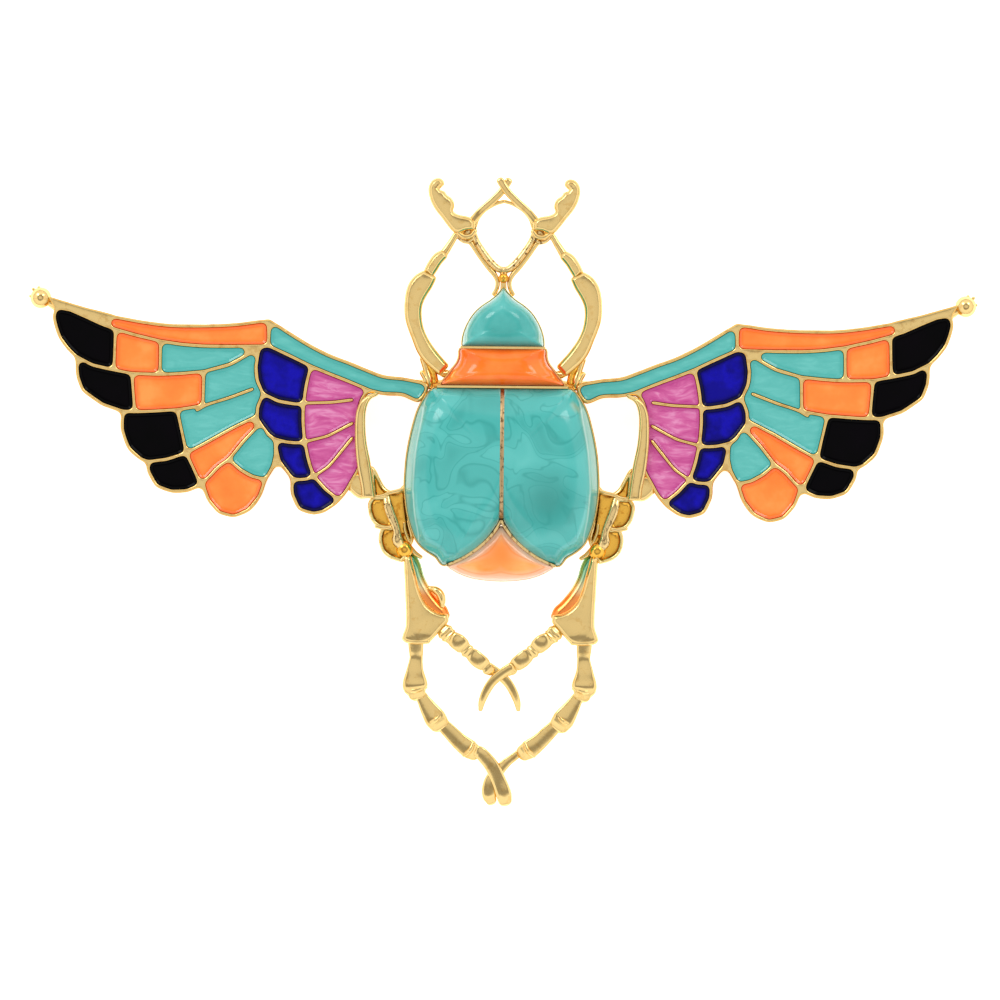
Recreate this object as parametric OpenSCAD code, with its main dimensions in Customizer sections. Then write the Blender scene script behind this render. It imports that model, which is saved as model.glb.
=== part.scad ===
// Winged scarab brooch: one cast and gold-plated frame, enamel in the cells of its
// wings and on its body, and a plain pin behind. It lies on its back, front face up,
// with its head towards +Y. The origin is under the middle of the whole brooch.

/* [Wings] */
// Reach of a wing, from its root beside the body to the end of its tip ball
wing_length = 40; // [37:0.5:44]
// Depth of a wing, from its lowest feather to the crest of its leading edge
wing_depth = 20; // [18.5:0.5:22]
// Thickness of the cast wing plate
wing_thickness = 1.8; // [1.5:0.1:2.4]
// Width of the walls that part the cells
wall_width = 0.45; // [0.35:0.05:0.55]
// Width of the rim round a wing
rim_width = 0.45; // [0.35:0.05:0.65]
// Depth of the cells in a wing
cell_depth = 0.9; // [0.6:0.05:1.1]
// Radius of the corners of the cells
cell_corner = 0.35; // [0.2:0.05:0.45]
// Diameter of the ball at a wing's tip
tip_ball_d = 2.1; // [1.6:0.1:2.6]

/* [Body] */
// Width over both wing cases
body_width = 19.5; // [18:0.5:21.5]
// Length of the wing cases, from the neck shield to their lower tips
case_length = 17.8; // [16.5:0.1:19.5]
// Length of the neck shield
shield_length = 3.6; // [3:0.1:4.4]
// Length of the head
head_length = 5.6; // [4.8:0.1:6.4]
// Rise of the wing cases above the wings' front face
case_rise = 4.2; // [3.4:0.1:5]
// Rise of the head, the neck shield and the tail above the wings' front face
head_rise = 3.2; // [2.4:0.1:4]
// Thickness of the enamel on the body
coat = 0.8; // [0.6:0.05:1]
// Wall of the hollow body casting
shell_wall = 1.1; // [0.8:0.1:1.4]
// Width of the gold lines between the body's panels
line_width = 0.3; // [0.2:0.05:0.4]

/* [Legs] */
// Reach of the forelegs, from the shoulder line to their crossed toes
foreleg_length = 21.3; // [20:0.1:23]
// Reach of the hind legs, from their roots to their crossed toes
hind_leg_length = 26.1; // [24:0.1:28]
// Width of a leg, which its joints and shins follow
leg_width = 1.5; // [1.3:0.05:1.7]
// Height of a leg, from its back to its crest
leg_height = 1.9; // [1.5:0.1:2.4]

/* [Pin] */
// Height of the casting's back above the surface it lies on
back_height = 3.4; // [3:0.1:4]
// Diameter of the pin wire
pin_wire_d = 0.9; // [0.7:0.05:1.1]
// Width of the lug at each end of the pin
lug_width = 2.6; // [2.2:0.1:3.2]
// Length of the lugs across the wire
lug_length = 3.4; // [2.8:0.1:4]

/* [Fit] */
// Gap between an enamel piece and the metal round it
gap = 0.04; // [0.02:0.01:0.06]
// How far the enamel in a wing lies below the top of its walls
sink = 0.08; // [0.04:0.01:0.14]

/* [Hidden] */
half_width = body_width / 2;
front = back_height + wing_thickness;
floor_z = front - cell_depth;
// The whole brooch is centred on the origin, so the shoulder line lies where the
// reach above it and the reach below it balance.
hind_root = 0.91 * case_length;
shoulder_y = (hind_root + hind_leg_length - foreleg_length) / 2;
head_base = shield_length + 0.5;
SIDES = ["left", "right"];
// The longest straight piece of a smooth curve, in shares
STEP = 9;
// Thickness of the sliver that a stroke grows from
HAIR = 0.02;

// Each place below is a share in percent. On a wing it is [share of wing_length out
// from the root, share of wing_depth up from the shoulder line].
STRIP_TOP = [[82, 32.5], [79.5, 34], [71, 31.1], [64, 29.6], [55, 29.6], [47.5, 30.5], [39.9, 32.6]];
TIER_1 = [[93.1, 38.3], [89.5, 37], [81.5, 30], [78.1, 27.5], [66.8, 21.8], [56.2, 19.6], [43, 19.8],
    [39.8, 20], [29.2, 10], [20, 2.8], [14.2, -2]];
TIER_2 = [[93.5, 33], [91.9, 23], [87.9, 13.8], [83.8, 9.6], [78.4, 7.2], [73.9, 5.5], [66.9, 5.2],
    [55.9, 6.8], [49.5, 10.5], [41.8, 19.4]];
TIER_3 = [[87.4, 3.5], [86.1, -3.2], [81.2, -10], [76.1, -13.4], [73.1, -13.6], [62.5, -12.4],
    [56.1, -10.2], [49.5, -6.2], [43.5, -1.5]];
TIER_4 = [[76.2, -22.5], [74.5, -31.8], [71.5, -37.2], [69.6, -38.5], [65, -37.2], [60.1, -34],
    [55, -28.5], [48.8, -21.5], [42, -14.7]];
TIER_5 = [[69.6, -43], [67.5, -50.5], [63.8, -53.2], [60, -52.9], [56.4, -49.8], [52.2, -41],
    [49.5, -37], [46, -28.2], [41.3, -18.2]];
LOBE_EDGE = [[55.6, -50.8], [54.5, -57.2], [51.8, -63.5], [48.1, -65.4], [44.5, -62.2], [41.8, -55.5],
    [40.4, -47.8]];
LOBE_WALL = [[49.5, -37], [46.5, -42.1], [43.5, -45.4], [40.4, -46.8]];
TEAL_EDGE = [[37.9, -27.5], [37.8, -34.5], [38.4, -40], [40, -46]];
FILE_WALL = [[42.1, 19.2], [42.9, 9.5], [42.6, 3], [41.1, -4], [42.4, -11], [42.5, -16.5],
    [39.8, -24], [37.9, -27.5]];
BLUE_WALLS = [
    [[41.1, -4], [37.2, -7.6], [33, -9], [30.9, -8.8]],
    [[38.2, -26.5], [35.2, -28], [32.8, -28.4], [30.5, -28.2]],
    [[34, -45.8], [32.2, -46.8], [30.2, -46.5], [28.1, -45.2]],
];
BLUE_EDGES = [
    [[37.9, -28.8], [36.9, -37.5], [34.1, -44.8]],
    [[33.7, -47.2], [33.5, -54.2], [31.8, -61.5], [28.2, -63.6], [25.8, -62.5], [22.5, -58.2]],
];
PINK_WALL = [[29.2, 10], [30.2, 1.5], [30.9, -8.8], [31, -18], [30.5, -28.2], [29.8, -35],
    [28.1, -45.2], [25.2, -51.5], [22.1, -56.5]];
BAR_SIDE = [[14.2, -2], [16.1, -5.2], [16.9, -9.5], [17.2, -17.5], [17.2, -25.5], [16.5, -36.5],
    [17.2, -42], [18.6, -46.8], [19.9, -51.5], [21.5, -56]];
SHOULDER_TOP = [[39.6, 32], [38.5, 31.2], [34.8, 26.5], [29.8, 20.5], [24.8, 15.5], [19.8, 11.8],
    [14.8, 7.8], [11, 5.1], [6.2, 4.1], [1.8, 2.5], [-0.2, 1]];
SHOULDER_END = [[0.2, -1.5], [1.8, -6.5], [2.4, -7.2], [4.2, -5.4], [6.2, -3.8], [11.2, -3.3]];
LEADING_BAND = [[94.8, 43], [86.2, 38], [79.5, 34.7]];
// Walls that end inside a cell, which leave it one pool of enamel
TEAL_STUB = [[57.6, -12.6], [55.2, -9.9], [49.5, -6.2], [43.7, -1.8]];
PINK_STUBS = [
    [[31.6, -8.6], [23.8, -8], [18.8, -6.7]],
    [[31.3, -28.3], [24.8, -24.8], [18.7, -18.4]],
    [[28.9, -46.2], [24.5, -40], [21.2, -32], [18.7, -25.8]],
];

// Cells of a wing: name, colour, and the curves that bound it, which run along the
// middle of the walls
CELLS = [
    ["black_1", "black", [stretch(TIER_1, 0, 3), stretch(TIER_2, 4, 0)]],
    ["black_2", "black", [stretch(TIER_2, 2, 5), stretch(TIER_3, 4, 0)]],
    ["black_3", "black", [stretch(TIER_3, 3, 5), stretch(TIER_4, 5, 0)]],
    ["black_4", "black", [stretch(TIER_4, 3, 5), stretch(TIER_5, 4, 0)]],
    ["orange_strip", "orange", [stretch(STRIP_TOP, 0, 6), stretch(TIER_1, 7, 2)]],
    ["orange_1", "orange", [stretch(TIER_1, 3, 4), stretch(TIER_2, 6, 4)]],
    ["orange_2", "orange", [stretch(TIER_2, 5, 7), stretch(TIER_3, 6, 4)]],
    ["orange_3", "orange", [stretch(TIER_4, 5, 8), stretch(TIER_5, 8, 4)]],
    ["orange_4", "orange", [stretch(TIER_5, 4, 6), stretch(LOBE_WALL, 0, 3), stretch(LOBE_EDGE, 6, 0)]],
    ["teal_strip", "teal", [stretch(SHOULDER_TOP, 0, 10), stretch(SHOULDER_END, 0, 5),
        stretch(TIER_1, 10, 7)]],
    ["teal_1", "teal", [stretch(TIER_1, 4, 6), stretch(TIER_2, 9, 6)]],
    ["teal_2", "teal", [stretch(TIER_2, 7, 9), stretch(FILE_WALL, 0, 5), stretch(TIER_4, 8, 5),
        stretch(TIER_3, 5, 6)]],
    ["teal_3", "teal", [stretch(TIER_5, 6, 8), stretch(FILE_WALL, 6, 7), stretch(TEAL_EDGE, 0, 3),
        stretch(LOBE_WALL, 3, 0)]],
    ["blue_1", "mediumblue", [stretch(TIER_1, 7, 8), stretch(PINK_WALL, 0, 2),
        stretch(BLUE_WALLS[0], 3, 0), stretch(FILE_WALL, 3, 0)]],
    ["blue_2", "mediumblue", [stretch(BLUE_WALLS[0], 0, 3), stretch(PINK_WALL, 2, 4),
        stretch(BLUE_WALLS[1], 3, 0), stretch(FILE_WALL, 6, 3)]],
    ["blue_3", "mediumblue", [stretch(BLUE_WALLS[1], 0, 3), stretch(PINK_WALL, 4, 6),
        stretch(BLUE_WALLS[2], 3, 0), stretch(BLUE_EDGES[0], 2, 0)]],
    ["blue_4", "mediumblue", [stretch(BLUE_WALLS[2], 0, 3), stretch(PINK_WALL, 6, 8),
        stretch(BLUE_EDGES[1], 5, 0)]],
    ["pink_1", "mediumvioletred", [stretch(TIER_1, 8, 10), stretch(BAR_SIDE, 0, 9),
        stretch(PINK_WALL, 8, 0)]],
];

// On the body a place is [share of half the body's width out from the middle, share
// of a length up from a base line]. These are the outlines of the enamel panels, each
// from its top and clockwise.
CASE_EDGE = [[3.2, -0.5], [69, -0.5], [77, -5], [84.5, -14], [91.2, -27], [97, -43], [98.3, -59],
    [95, -73], [86.7, -85.5], [65.5, -95.5], [60, -100], [51, -98.3], [31, -93], [12.3, -83.7], [3.2, -74]];
SHIELD_EDGE = [[0, 100], [43.6, 100], [45, 68], [51.3, 45.8], [56.4, 23.6], [63.6, 0], [0, 0]];
HEAD_EDGE = [[0, 100], [4.6, 93], [11.8, 80.5], [19.5, 73], [26.5, 63], [32.5, 50], [37.5, 33], [40.8, 15],
    [41, 0], [0, 0]];
TAIL_EDGE = [[0, -79.6], [20.5, -90.6], [36, -96.5], [53, -100.6], [41, -104.6], [25.6, -107], [0, -108.2]];
// Profile of a panel, from its edge to its crown: share of the outline, share of the rise
CASE_PROFILE = [[100, 0], [97.5, 32], [90, 62], [60, 91], [0, 100]];
CUSHION_PROFILE = [[100, 0], [95, 45], [72, 86], [0, 100]];

// Legs: share of half_width out from the middle, share of the leg's own length from its
// root, share of leg_width. The knob and the feelers are measured like the forelegs.
FORELEG = [[68.7, 3.8, 50], [70.8, 11.7, 44], [82, 20.7, 48], [89.7, 30.5, 50], [92.3, 37.6, 52],
    [88.7, 46, 55], [79, 52.1, 50], [75.4, 55.4, 37], [64, 62.3, 32], [58.5, 65.7, 20], [43, 74.6, 27],
    [35, 77, 28], [44, 78.2, 37], [51.3, 81.7, 40], [68.7, 91.5, 42], [72.3, 95.3, 27], [66.7, 96.5, 21]];
FORE_TOE = [[33.8, 77.6, 20], [22.6, 83.1, 19], [2, 94, 18], [-5.5, 98.9, 17]];
KNOB = [0, 54.4, 38];
FEELER = [[3, 54.8, 33], [13.3, 58.6, 33], [22.6, 64.2, 34], [34.9, 73.4, 32]];
SHIN = [[98.5, 0, 43], [94.9, 3.4, 28], [92.3, 14.6, 37], [87.7, 24.1, 57], [92.3, 32.6, 50]];
HEEL = [[87.7, 24.1, 57], [62.6, 28, 47], [78, 32.6, 53], [92.3, 32.6, 50]];
SPUR = [[62.6, 29.5, 40], [53.3, 33, 50], [37, 37.5, 48], [33.3, 39.3, 35], [29.7, 40.4, 44],
    [15.4, 44.3, 44], [11.8, 45.8, 30], [-2, 48.7, 25], [-12.3, 52.5, 24], [-20.5, 62, 19]];
FOOT = [[85.6, 36.8, 43], [86, 41.8, 40], [87.7, 52.5, 72], [80, 57, 38], [63.6, 66.3, 65],
    [55, 69, 42], [27.5, 76.8, 57], [18, 79.4, 31], [4, 84.3, 33], [-4, 88.9, 36], [-6.2, 98.3, 32]];
// Share of the hind leg's length at which it starts to slope down to the surface
SLOPE_START = 35;
// The middle leg's bar and the outer ends of its plates lie in the wing's shares
MID_BAR = [[12.2, -3.5], [15.2, -6.5], [16.5, -11.5], [16.8, -22.5], [16.4, -32.5], [15.2, -45],
    [14.5, -54.5]];
MID_PLATES = [
    [[14.2, -57, 40], [13.4, -67, 40]],
    [[11, -72, 40], [9.2, -80, 40]],
];
// Their inner ends lie in the body's shares
MID_ROOTS = [
    [[94, -62, 40], [92, -77, 40]],
    [[90, -80, 40], [88, -90, 40]],
];

// A point of a smooth curve through the places of a rail
function at(rail, i) = i < 0 ? 2 * rail[0] - rail[1]
    : i >= len(rail) ? 2 * rail[len(rail) - 1] - rail[len(rail) - 2]
    : rail[i];
function curve(a, b, c, d, t) = 0.5 * (2 * b + (c - a) * t + (2 * a - 5 * b + 4 * c - d) * t * t
    + (3 * b - a - 3 * c + d) * t * t * t);
// The smooth curve from one place of a rail to another, either way along it
function stretch(rail, from, to) = let (low = min(from, to), high = max(from, to),
    points = concat([for (i = [low:high - 1]) let (n = ceil(norm(rail[i + 1] - rail[i]) / STEP))
        for (k = [0:n - 1]) curve(at(rail, i - 1), rail[i], rail[i + 1], at(rail, i + 2), k / n)],
        [rail[high]]))
    from < to ? points : [for (i = [len(points) - 1:-1:0]) points[i]];
function joined(runs) = [for (run = runs) each run];

// From shares to millimetres
function on_wing(p) = [0.385 * body_width + p.x * wing_length / 100, p.y * wing_depth / 100];
function on_body(p, length, base) = [p.x * half_width / 100, base + p.y * length / 100];
function on_case(p) = on_body(p, case_length, 0);
function on_foreleg(p) = on_body(p, foreleg_length, 0);
function on_hind_leg(p) = on_body([p.x, -p.y], hind_leg_length, -hind_root);
function round_both(half) = concat(half, [for (i = [len(half) - 1:-1:0]) if (half[i].x > 0)
    [-half[i].x, half[i].y]]);

module placed(side = "right") {
    translate([0, shoulder_y, 0]) mirror([side == "left" ? 1 : 0, 0, 0]) children();
}

// A line of metal along the places of a rail
module stroke(points, width) {
    offset(r = width / 2 - HAIR, $fn = 8)
        polygon(concat(points, [for (i = [len(points) - 1:-1:0]) points[i] + [0, HAIR]]));
}

module cell_area(cell, grow) {
    difference() {
        offset(r = cell_corner, $fn = 8) offset(delta = grow - wall_width / 2 - cell_corner)
            polygon([for (p = joined(cell[2])) on_wing(p)]);
        if (cell[0] == "teal_2") stub_area(TEAL_STUB, grow);
        if (cell[0] == "pink_1") for (stub = PINK_STUBS) stub_area(stub, grow);
    }
}

module stub_area(stub, grow) {
    stroke([for (p = stretch(stub, 0, len(stub) - 1)) on_wing(p)], wall_width - 2 * grow);
}

// The wing plate follows its cells, with rounded notches between the feathers.
module wing_area() {
    notch = 0.5;
    offset(r = -notch, $fn = 8) offset(delta = notch + rim_width - wall_width / 2) {
        for (cell = CELLS) polygon([for (p = joined(cell[2])) on_wing(p)]);
        band = concat(LEADING_BAND, stretch(STRIP_TOP, 1, 0), stretch(TIER_1, 2, 0));
        polygon([for (p = band) on_wing(p)]);
    }
}

module wing_plate() {
    translate([0, 0, back_height]) linear_extrude(wing_thickness) wing_area();
    ball = [0.385 * body_width + wing_length - tip_ball_d / 2, 0.405 * wing_depth];
    translate([ball.x, ball.y, back_height + tip_ball_d / 2]) sphere(d = tip_ball_d, $fn = 10);
    // The neck from the wing to the ball, each end [along, across, radius] in ball diameters
    hull() for (end = [[0.5, 0.2, 0.4], [0.9, 0.3, 0.3]])
        translate([ball.x - end[0] * tip_ball_d, ball.y - end[1] * tip_ball_d, back_height])
            stud(end[2] * tip_ball_d, 0.76 * tip_ball_d);
}

// A solid over an outline, built of rings that shrink towards its crown. An open
// outline starts and ends on the line through the crown, and is closed there by a wall.
module ring_solid(outline, crown, profile, tops, bottoms, open = false) {
    m = len(outline);
    n = len(profile) - 1;
    layer = n * m + 1;
    function ring(i, z) = [for (p = outline)
        let (q = crown + profile[i][0] / 100 * (p - crown)) [q.x, q.y, z]];
    points = concat([for (i = [0:n - 1]) each ring(i, tops[i])], [[crown.x, crown.y, tops[n]]],
        [for (i = [0:n - 1]) each ring(i, bottoms[i])], [[crown.x, crown.y, bottoms[n]]]);
    last = open ? m - 2 : m - 1;
    function quad(a, b, c, d) = [[a, b, c], [a, c, d]];
    function next(j) = (j + 1) % m;
    upper = [for (i = [0:n - 2], j = [0:last])
        each quad(i * m + j, i * m + next(j), (i + 1) * m + next(j), (i + 1) * m + j)];
    upper_fan = [for (j = [0:last]) [(n - 1) * m + j, (n - 1) * m + next(j), n * m]];
    lower = [for (face = concat(upper, upper_fan)) [face[2] + layer, face[1] + layer, face[0] + layer]];
    rim = [for (j = [0:last]) each quad(j, j + layer, next(j) + layer, next(j))];
    first_end = concat([for (i = [0:n - 1]) i * m], [n * m]);
    last_end = concat([for (i = [0:n - 1]) i * m + m - 1], [n * m]);
    walls = !open ? [] : concat(
        [for (i = [0:n - 1]) each quad(first_end[i], first_end[i + 1], first_end[i + 1] + layer,
            first_end[i] + layer)],
        [for (i = [0:n - 1]) each quad(last_end[i], last_end[i] + layer, last_end[i + 1] + layer,
            last_end[i + 1])]);
    polyhedron(points, concat(upper, upper_fan, lower, rim, walls));
}

// Panels of the body: outline, crown, profile, rise, and whether the outline is open
function case_panel() = [[for (p = CASE_EDGE) on_case(p)], on_case([3.2, -42]), CASE_PROFILE,
    case_rise, true];
function shield_panel() = let (base = 0.25) [round_both([for (p = SHIELD_EDGE)
    on_body(p, shield_length, base)]), [0, base + shield_length / 2], CUSHION_PROFILE, head_rise, false];
function head_panel() = [round_both([for (p = HEAD_EDGE) on_body(p, head_length, head_base)]),
    [0, head_base + 0.4 * head_length], CUSHION_PROFILE, head_rise, false];
function tail_panel() = [round_both([for (p = TAIL_EDGE) on_case(p)]), on_case([0, -98]),
    CUSHION_PROFILE, head_rise / 2, false];
PANELS = [shield_panel(), head_panel(), tail_panel()];

// A panel's outline grown by a width at its outermost places to the side, above and below
function grown(panel, side, width) = let (arms = [for (p = panel[0]) p - panel[1]],
    out = max([for (arm = arms) arm.x]),
    up = max([for (arm = arms) arm.y]),
    down = -min([for (arm = arms) arm.y]))
    [for (arm = arms) let (reach = arm.y > 0 ? up : down)
        panel[1] + [arm.x * (1 + side / out), arm.y * (1 + width / reach)]];
function heights(panel, shift) = [for (row = panel[2]) front + shift + panel[3] * row[1] / 100];
function flat(panel, z) = [for (row = panel[2]) z];

module panel_enamel(panel) {
    ring_solid(grown(panel, -gap, -gap), panel[1], panel[2],
        heights(panel, 0), heights(panel, -coat), panel[4]);
}

module panel_seat(panel) {
    shift = panel[4] ? [-panel[1].x - HAIR, 0] : [0, 0];
    outline = [for (p = grown(panel, line_width - shift.x, line_width)) p + shift];
    ring_solid(outline, panel[1] + shift, panel[2],
        heights(panel, -sink), flat(panel, back_height), panel[4]);
}

// Room for the enamel. Its outline is a little wider than the enamel's, so its floor is
// drawn in towards the crown, and keeps under the enamel on the steep flanks.
module panel_pocket(panel) {
    shift = panel[4] ? [-gap, 0] : [0, 0];
    outline = [for (p = grown(panel, gap - shift.x, gap)) p + shift];
    arms = [for (p = panel[0]) p - panel[1]];
    reach = min(max([for (arm = arms) arm.x]), max([for (arm = arms) arm.y]),
        -min([for (arm = arms) arm.y]));
    share = max((reach + gap - shift.x) / (reach - gap), 100 / panel[2][1][0]);
    bottoms = [for (row = panel[2])
        front - coat - gap + panel[3] * lookup(share * row[0], panel[2]) / 100];
    ring_solid(outline, panel[1] + shift, panel[2],
        flat(panel, front + case_rise + 1), bottoms, panel[4]);
}

module body_form() {
    for (side = [0, 1]) mirror([side, 0, 0]) panel_seat(case_panel());
    for (panel = PANELS) panel_seat(panel);
    seam_foot();
}

// The back is hollow in two steps under the wing cases and in one under the head.
module body_cuts() {
    for (side = [0, 1]) mirror([side, 0, 0]) {
        panel_pocket(case_panel());
        hollow(case_panel(), shell_wall, wing_thickness - coat - gap);
        hollow(case_panel(), 3 * shell_wall, case_rise * 0.5);
    }
    for (panel = PANELS) panel_pocket(panel);
    hollow(head_panel(), shell_wall, wing_thickness - coat - gap);
}

// The gold between the foot of the seam and the top of the tail
module seam_foot() {
    foot = on_case([0, -77]);
    translate([foot.x, foot.y, back_height])
        cylinder(r = 2 * line_width, h = wing_thickness - sink, $fn = 8);
}

module hollow(panel, wall, depth) {
    translate([0, 0, back_height - 1]) linear_extrude(1 + depth) offset(delta = -wall)
        polygon(panel[0]);
}

// A round boss with a bevelled crest
module stud(radius, height) {
    cylinder(r = radius, h = 0.6 * height, $fn = 8);
    translate([0, 0, 0.6 * height]) cylinder(r1 = radius, r2 = 0.5 * radius, h = 0.4 * height, $fn = 8);
}

// A limb joins a boss at each of its places, [x, y, radius, height of its back]
module limb(places) {
    for (i = [0:len(places) - 2]) hull() for (p = [places[i], places[i + 1]])
        translate([p[0], p[1], p[3]]) stud(p[2], leg_height);
}

function leg_radius(row) = row[2] * leg_width / 100;
function fore_places(rows, lift) = [for (row = rows) let (p = on_foreleg(row))
    [p.x, p.y, leg_radius(row), back_height + lift]];
function slope(along) = back_height * min(1, (100 - along) / (100 - SLOPE_START));
function hind_places(rows, lift) = [for (row = rows) let (p = on_hind_leg(row))
    [p.x, p.y, leg_radius(row), max(0, slope(row.y + 1.7)) + lift]];

module foreleg() {
    limb(fore_places(FORELEG, 0));
    limb(fore_places(FORE_TOE, 0.2));
}

// The neck of the knob that both feelers start from
module knob() {
    neck = [0, head_base + 0.98 * head_length, 0.22 * leg_width, back_height];
    limb([neck, fore_places([KNOB], 0)[0]]);
}

module middle_leg() {
    bar = [for (p = MID_BAR) let (q = on_wing(p)) [q.x, q.y, 0.28 * leg_width, back_height + 0.5]];
    limb(bar);
    for (i = [0, 1]) hull() {
        for (row = MID_PLATES[i]) let (p = on_wing(row)) translate([p.x, p.y, back_height])
            stud(leg_radius(row), leg_height);
        for (row = MID_ROOTS[i]) let (p = on_case(row)) translate([p.x, p.y, back_height])
            stud(leg_radius(row), leg_height);
    }
}

module hind_leg() {
    limb(hind_places(SHIN, 0));
    hull() for (p = hind_places(HEEL, 0)) translate([p[0], p[1], p[3]]) stud(p[2], leg_height);
    limb(hind_places(SPUR, 0));
    limb(hind_places(FOOT, 0));
}

module gold_casting() {
    color("gold") difference() {
        union() {
            for (side = SIDES) placed(side) {
                wing_plate();
                foreleg();
                limb(fore_places(FEELER, 0));
                middle_leg();
                hind_leg();
            }
            placed() body_form();
            placed() knob();
        }
        for (side = SIDES, cell = CELLS) placed(side) translate([0, 0, floor_z])
            linear_extrude(cell_depth + leg_height) cell_area(cell, 0);
        placed() body_cuts();
    }
}

module wing_enamel(side, cell) {
    color(cell[1]) placed(side) translate([0, 0, floor_z + gap])
        linear_extrude(cell_depth - gap - sink) cell_area(cell, -gap);
}

module case_enamel(side) {
    color("turquoise") placed(side) panel_enamel(case_panel());
}

module shield_enamel() {
    color("orange") placed() panel_enamel(shield_panel());
}

module head_enamel() {
    color("turquoise") placed() panel_enamel(head_panel());
}

module tail_enamel() {
    color("orange") placed() panel_enamel(tail_panel());
}

// The pin: a lug on the back of each wing, and the wire that runs from the hinge lug
// through the catch lug and ends in a point
module brooch_pin() {
    lug = on_wing([21, 2]);
    wire_z = 0.4 * back_height;
    point_length = 4 * pin_wire_d;
    color("goldenrod") placed() {
        for (x = [-lug.x, lug.x]) translate([x - lug_width / 2, lug.y - lug_length / 2, 0])
            cube([lug_width, lug_length, back_height - gap]);
        translate([-lug.x, lug.y, wire_z]) rotate([0, 90, 0])
            cylinder(d = pin_wire_d, h = 2 * lug.x + lug_width, $fn = 32);
        translate([lug.x + lug_width, lug.y, wire_z]) rotate([0, 90, 0])
            cylinder(d1 = pin_wire_d, d2 = 0.2 * pin_wire_d, h = point_length, $fn = 32);
    }
}

gold_casting();
brooch_pin();
head_enamel();
shield_enamel();
tail_enamel();
for (side = SIDES) {
    case_enamel(side);
    for (cell = CELLS) wing_enamel(side, cell);
}
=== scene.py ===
"""Winged scarab brooch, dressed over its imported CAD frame: polished walls, enamel pools and legs."""
import math

import bpy
import numpy as np
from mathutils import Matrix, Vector, geometry, kdtree


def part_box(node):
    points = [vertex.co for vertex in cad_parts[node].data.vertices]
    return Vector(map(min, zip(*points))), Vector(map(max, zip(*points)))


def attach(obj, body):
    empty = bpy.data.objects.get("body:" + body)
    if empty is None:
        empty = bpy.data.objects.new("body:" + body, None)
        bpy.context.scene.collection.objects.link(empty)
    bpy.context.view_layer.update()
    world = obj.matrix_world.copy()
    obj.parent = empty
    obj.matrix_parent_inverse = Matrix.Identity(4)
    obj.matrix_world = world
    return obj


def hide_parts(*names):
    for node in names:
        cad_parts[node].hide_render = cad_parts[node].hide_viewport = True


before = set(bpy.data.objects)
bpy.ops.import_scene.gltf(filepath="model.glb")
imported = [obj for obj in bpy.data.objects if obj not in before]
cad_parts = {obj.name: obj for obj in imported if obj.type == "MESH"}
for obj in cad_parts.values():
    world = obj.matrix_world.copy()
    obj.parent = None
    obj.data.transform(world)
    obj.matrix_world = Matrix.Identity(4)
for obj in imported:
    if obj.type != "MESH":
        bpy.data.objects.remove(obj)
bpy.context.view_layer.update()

MM = 0.001
# Levels of the brooch above the table, in millimetres
BACK = 3.4
FRONT = 5.2
CELL_FLOOR = 4.3
POOL = 5.045
LEG_TOP = 5.3
# Rise of the domed panels over the plate, and how thick their enamel is
CASE_RISE = 4.2
CUSHION_RISE = 3.2
TAIL_RISE = 1.6
COAT = 0.8
# Widths on the casting, in millimetres
RIM = 0.45
NOTCH = 0.5
FACET = 0.13
# Depth of a point that lies far from every edge, and how fast the mark of an edge fades
FAR = 9.0
EDGE_FADE = 0.28


# ---- outlines ----

def area(loop):
    """Area in a closed outline, positive where it runs anticlockwise."""
    x, y = loop.T
    return 0.5 * float(np.sum(x * np.roll(y, -1) - np.roll(x, -1) * y))


def turned(loop, anticlockwise=True):
    """The outline, run round the way that is asked."""
    return loop if (area(loop) > 0) == anticlockwise else loop[::-1].copy()


def inward(loop):
    """Unit directions to the left of a closed outline, which is inwards where it runs anticlockwise."""
    along = np.roll(loop, -1, 0) - np.roll(loop, 1, 0)
    left = np.stack([-along[:, 1], along[:, 0]], 1)
    return left / np.maximum(np.linalg.norm(left, axis=1, keepdims=True), 1e-9)


def spaced(loop, step):
    """Points at even steps along a closed outline."""
    lengths = np.linalg.norm(np.roll(loop, -1, 0) - loop, axis=1)
    total = lengths.sum()
    reach = np.concatenate([[0], np.cumsum(lengths)])
    closed = np.vstack([loop, loop[:1]])
    at = np.linspace(0, total, max(8, int(round(total / step))), endpoint=False)
    return np.stack([np.interp(at, reach, closed[:, k]) for k in range(closed.shape[1])], 1)


def eased(loop, step=FACET, corner=28, rounds=2):
    """A smooth outline through the corners of a filed one; only turns sharper than corner degrees stay."""
    loop = np.asarray(loop, float)
    after = np.roll(loop, -1, 0) - loop
    long = np.maximum(np.linalg.norm(after, axis=1), 1e-9)
    ahead = after / long[:, None]
    behind = np.roll(ahead, 1, 0)
    turn = np.degrees(np.arccos(np.clip((ahead * behind).sum(1), -1, 1)))
    chord = np.roll(loop, -1, 0) - np.roll(loop, 1, 0)
    chord /= np.maximum(np.linalg.norm(chord, axis=1), 1e-9)[:, None]
    sharp = (turn > corner)[:, None]
    leave, reach = np.where(sharp, ahead, chord), np.where(sharp, behind, chord)
    out = []
    for i in range(len(loop)):
        j = (i + 1) % len(loop)
        t = np.linspace(0, 1, max(2, int(long[i] / 0.05)), endpoint=False)[:, None]
        out.append((2 * t**3 - 3 * t**2 + 1) * loop[i] + (t**3 - 2 * t**2 + t) * long[i] * leave[i]
                   + (3 * t**2 - 2 * t**3) * loop[j] + (t**3 - t**2) * long[i] * reach[j])
    smooth = spaced(np.vstack(out), step)
    for _ in range(rounds):
        smooth = (np.roll(smooth, 1, 0) + 2 * smooth + np.roll(smooth, -1, 0)) / 4
    return smooth


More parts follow.
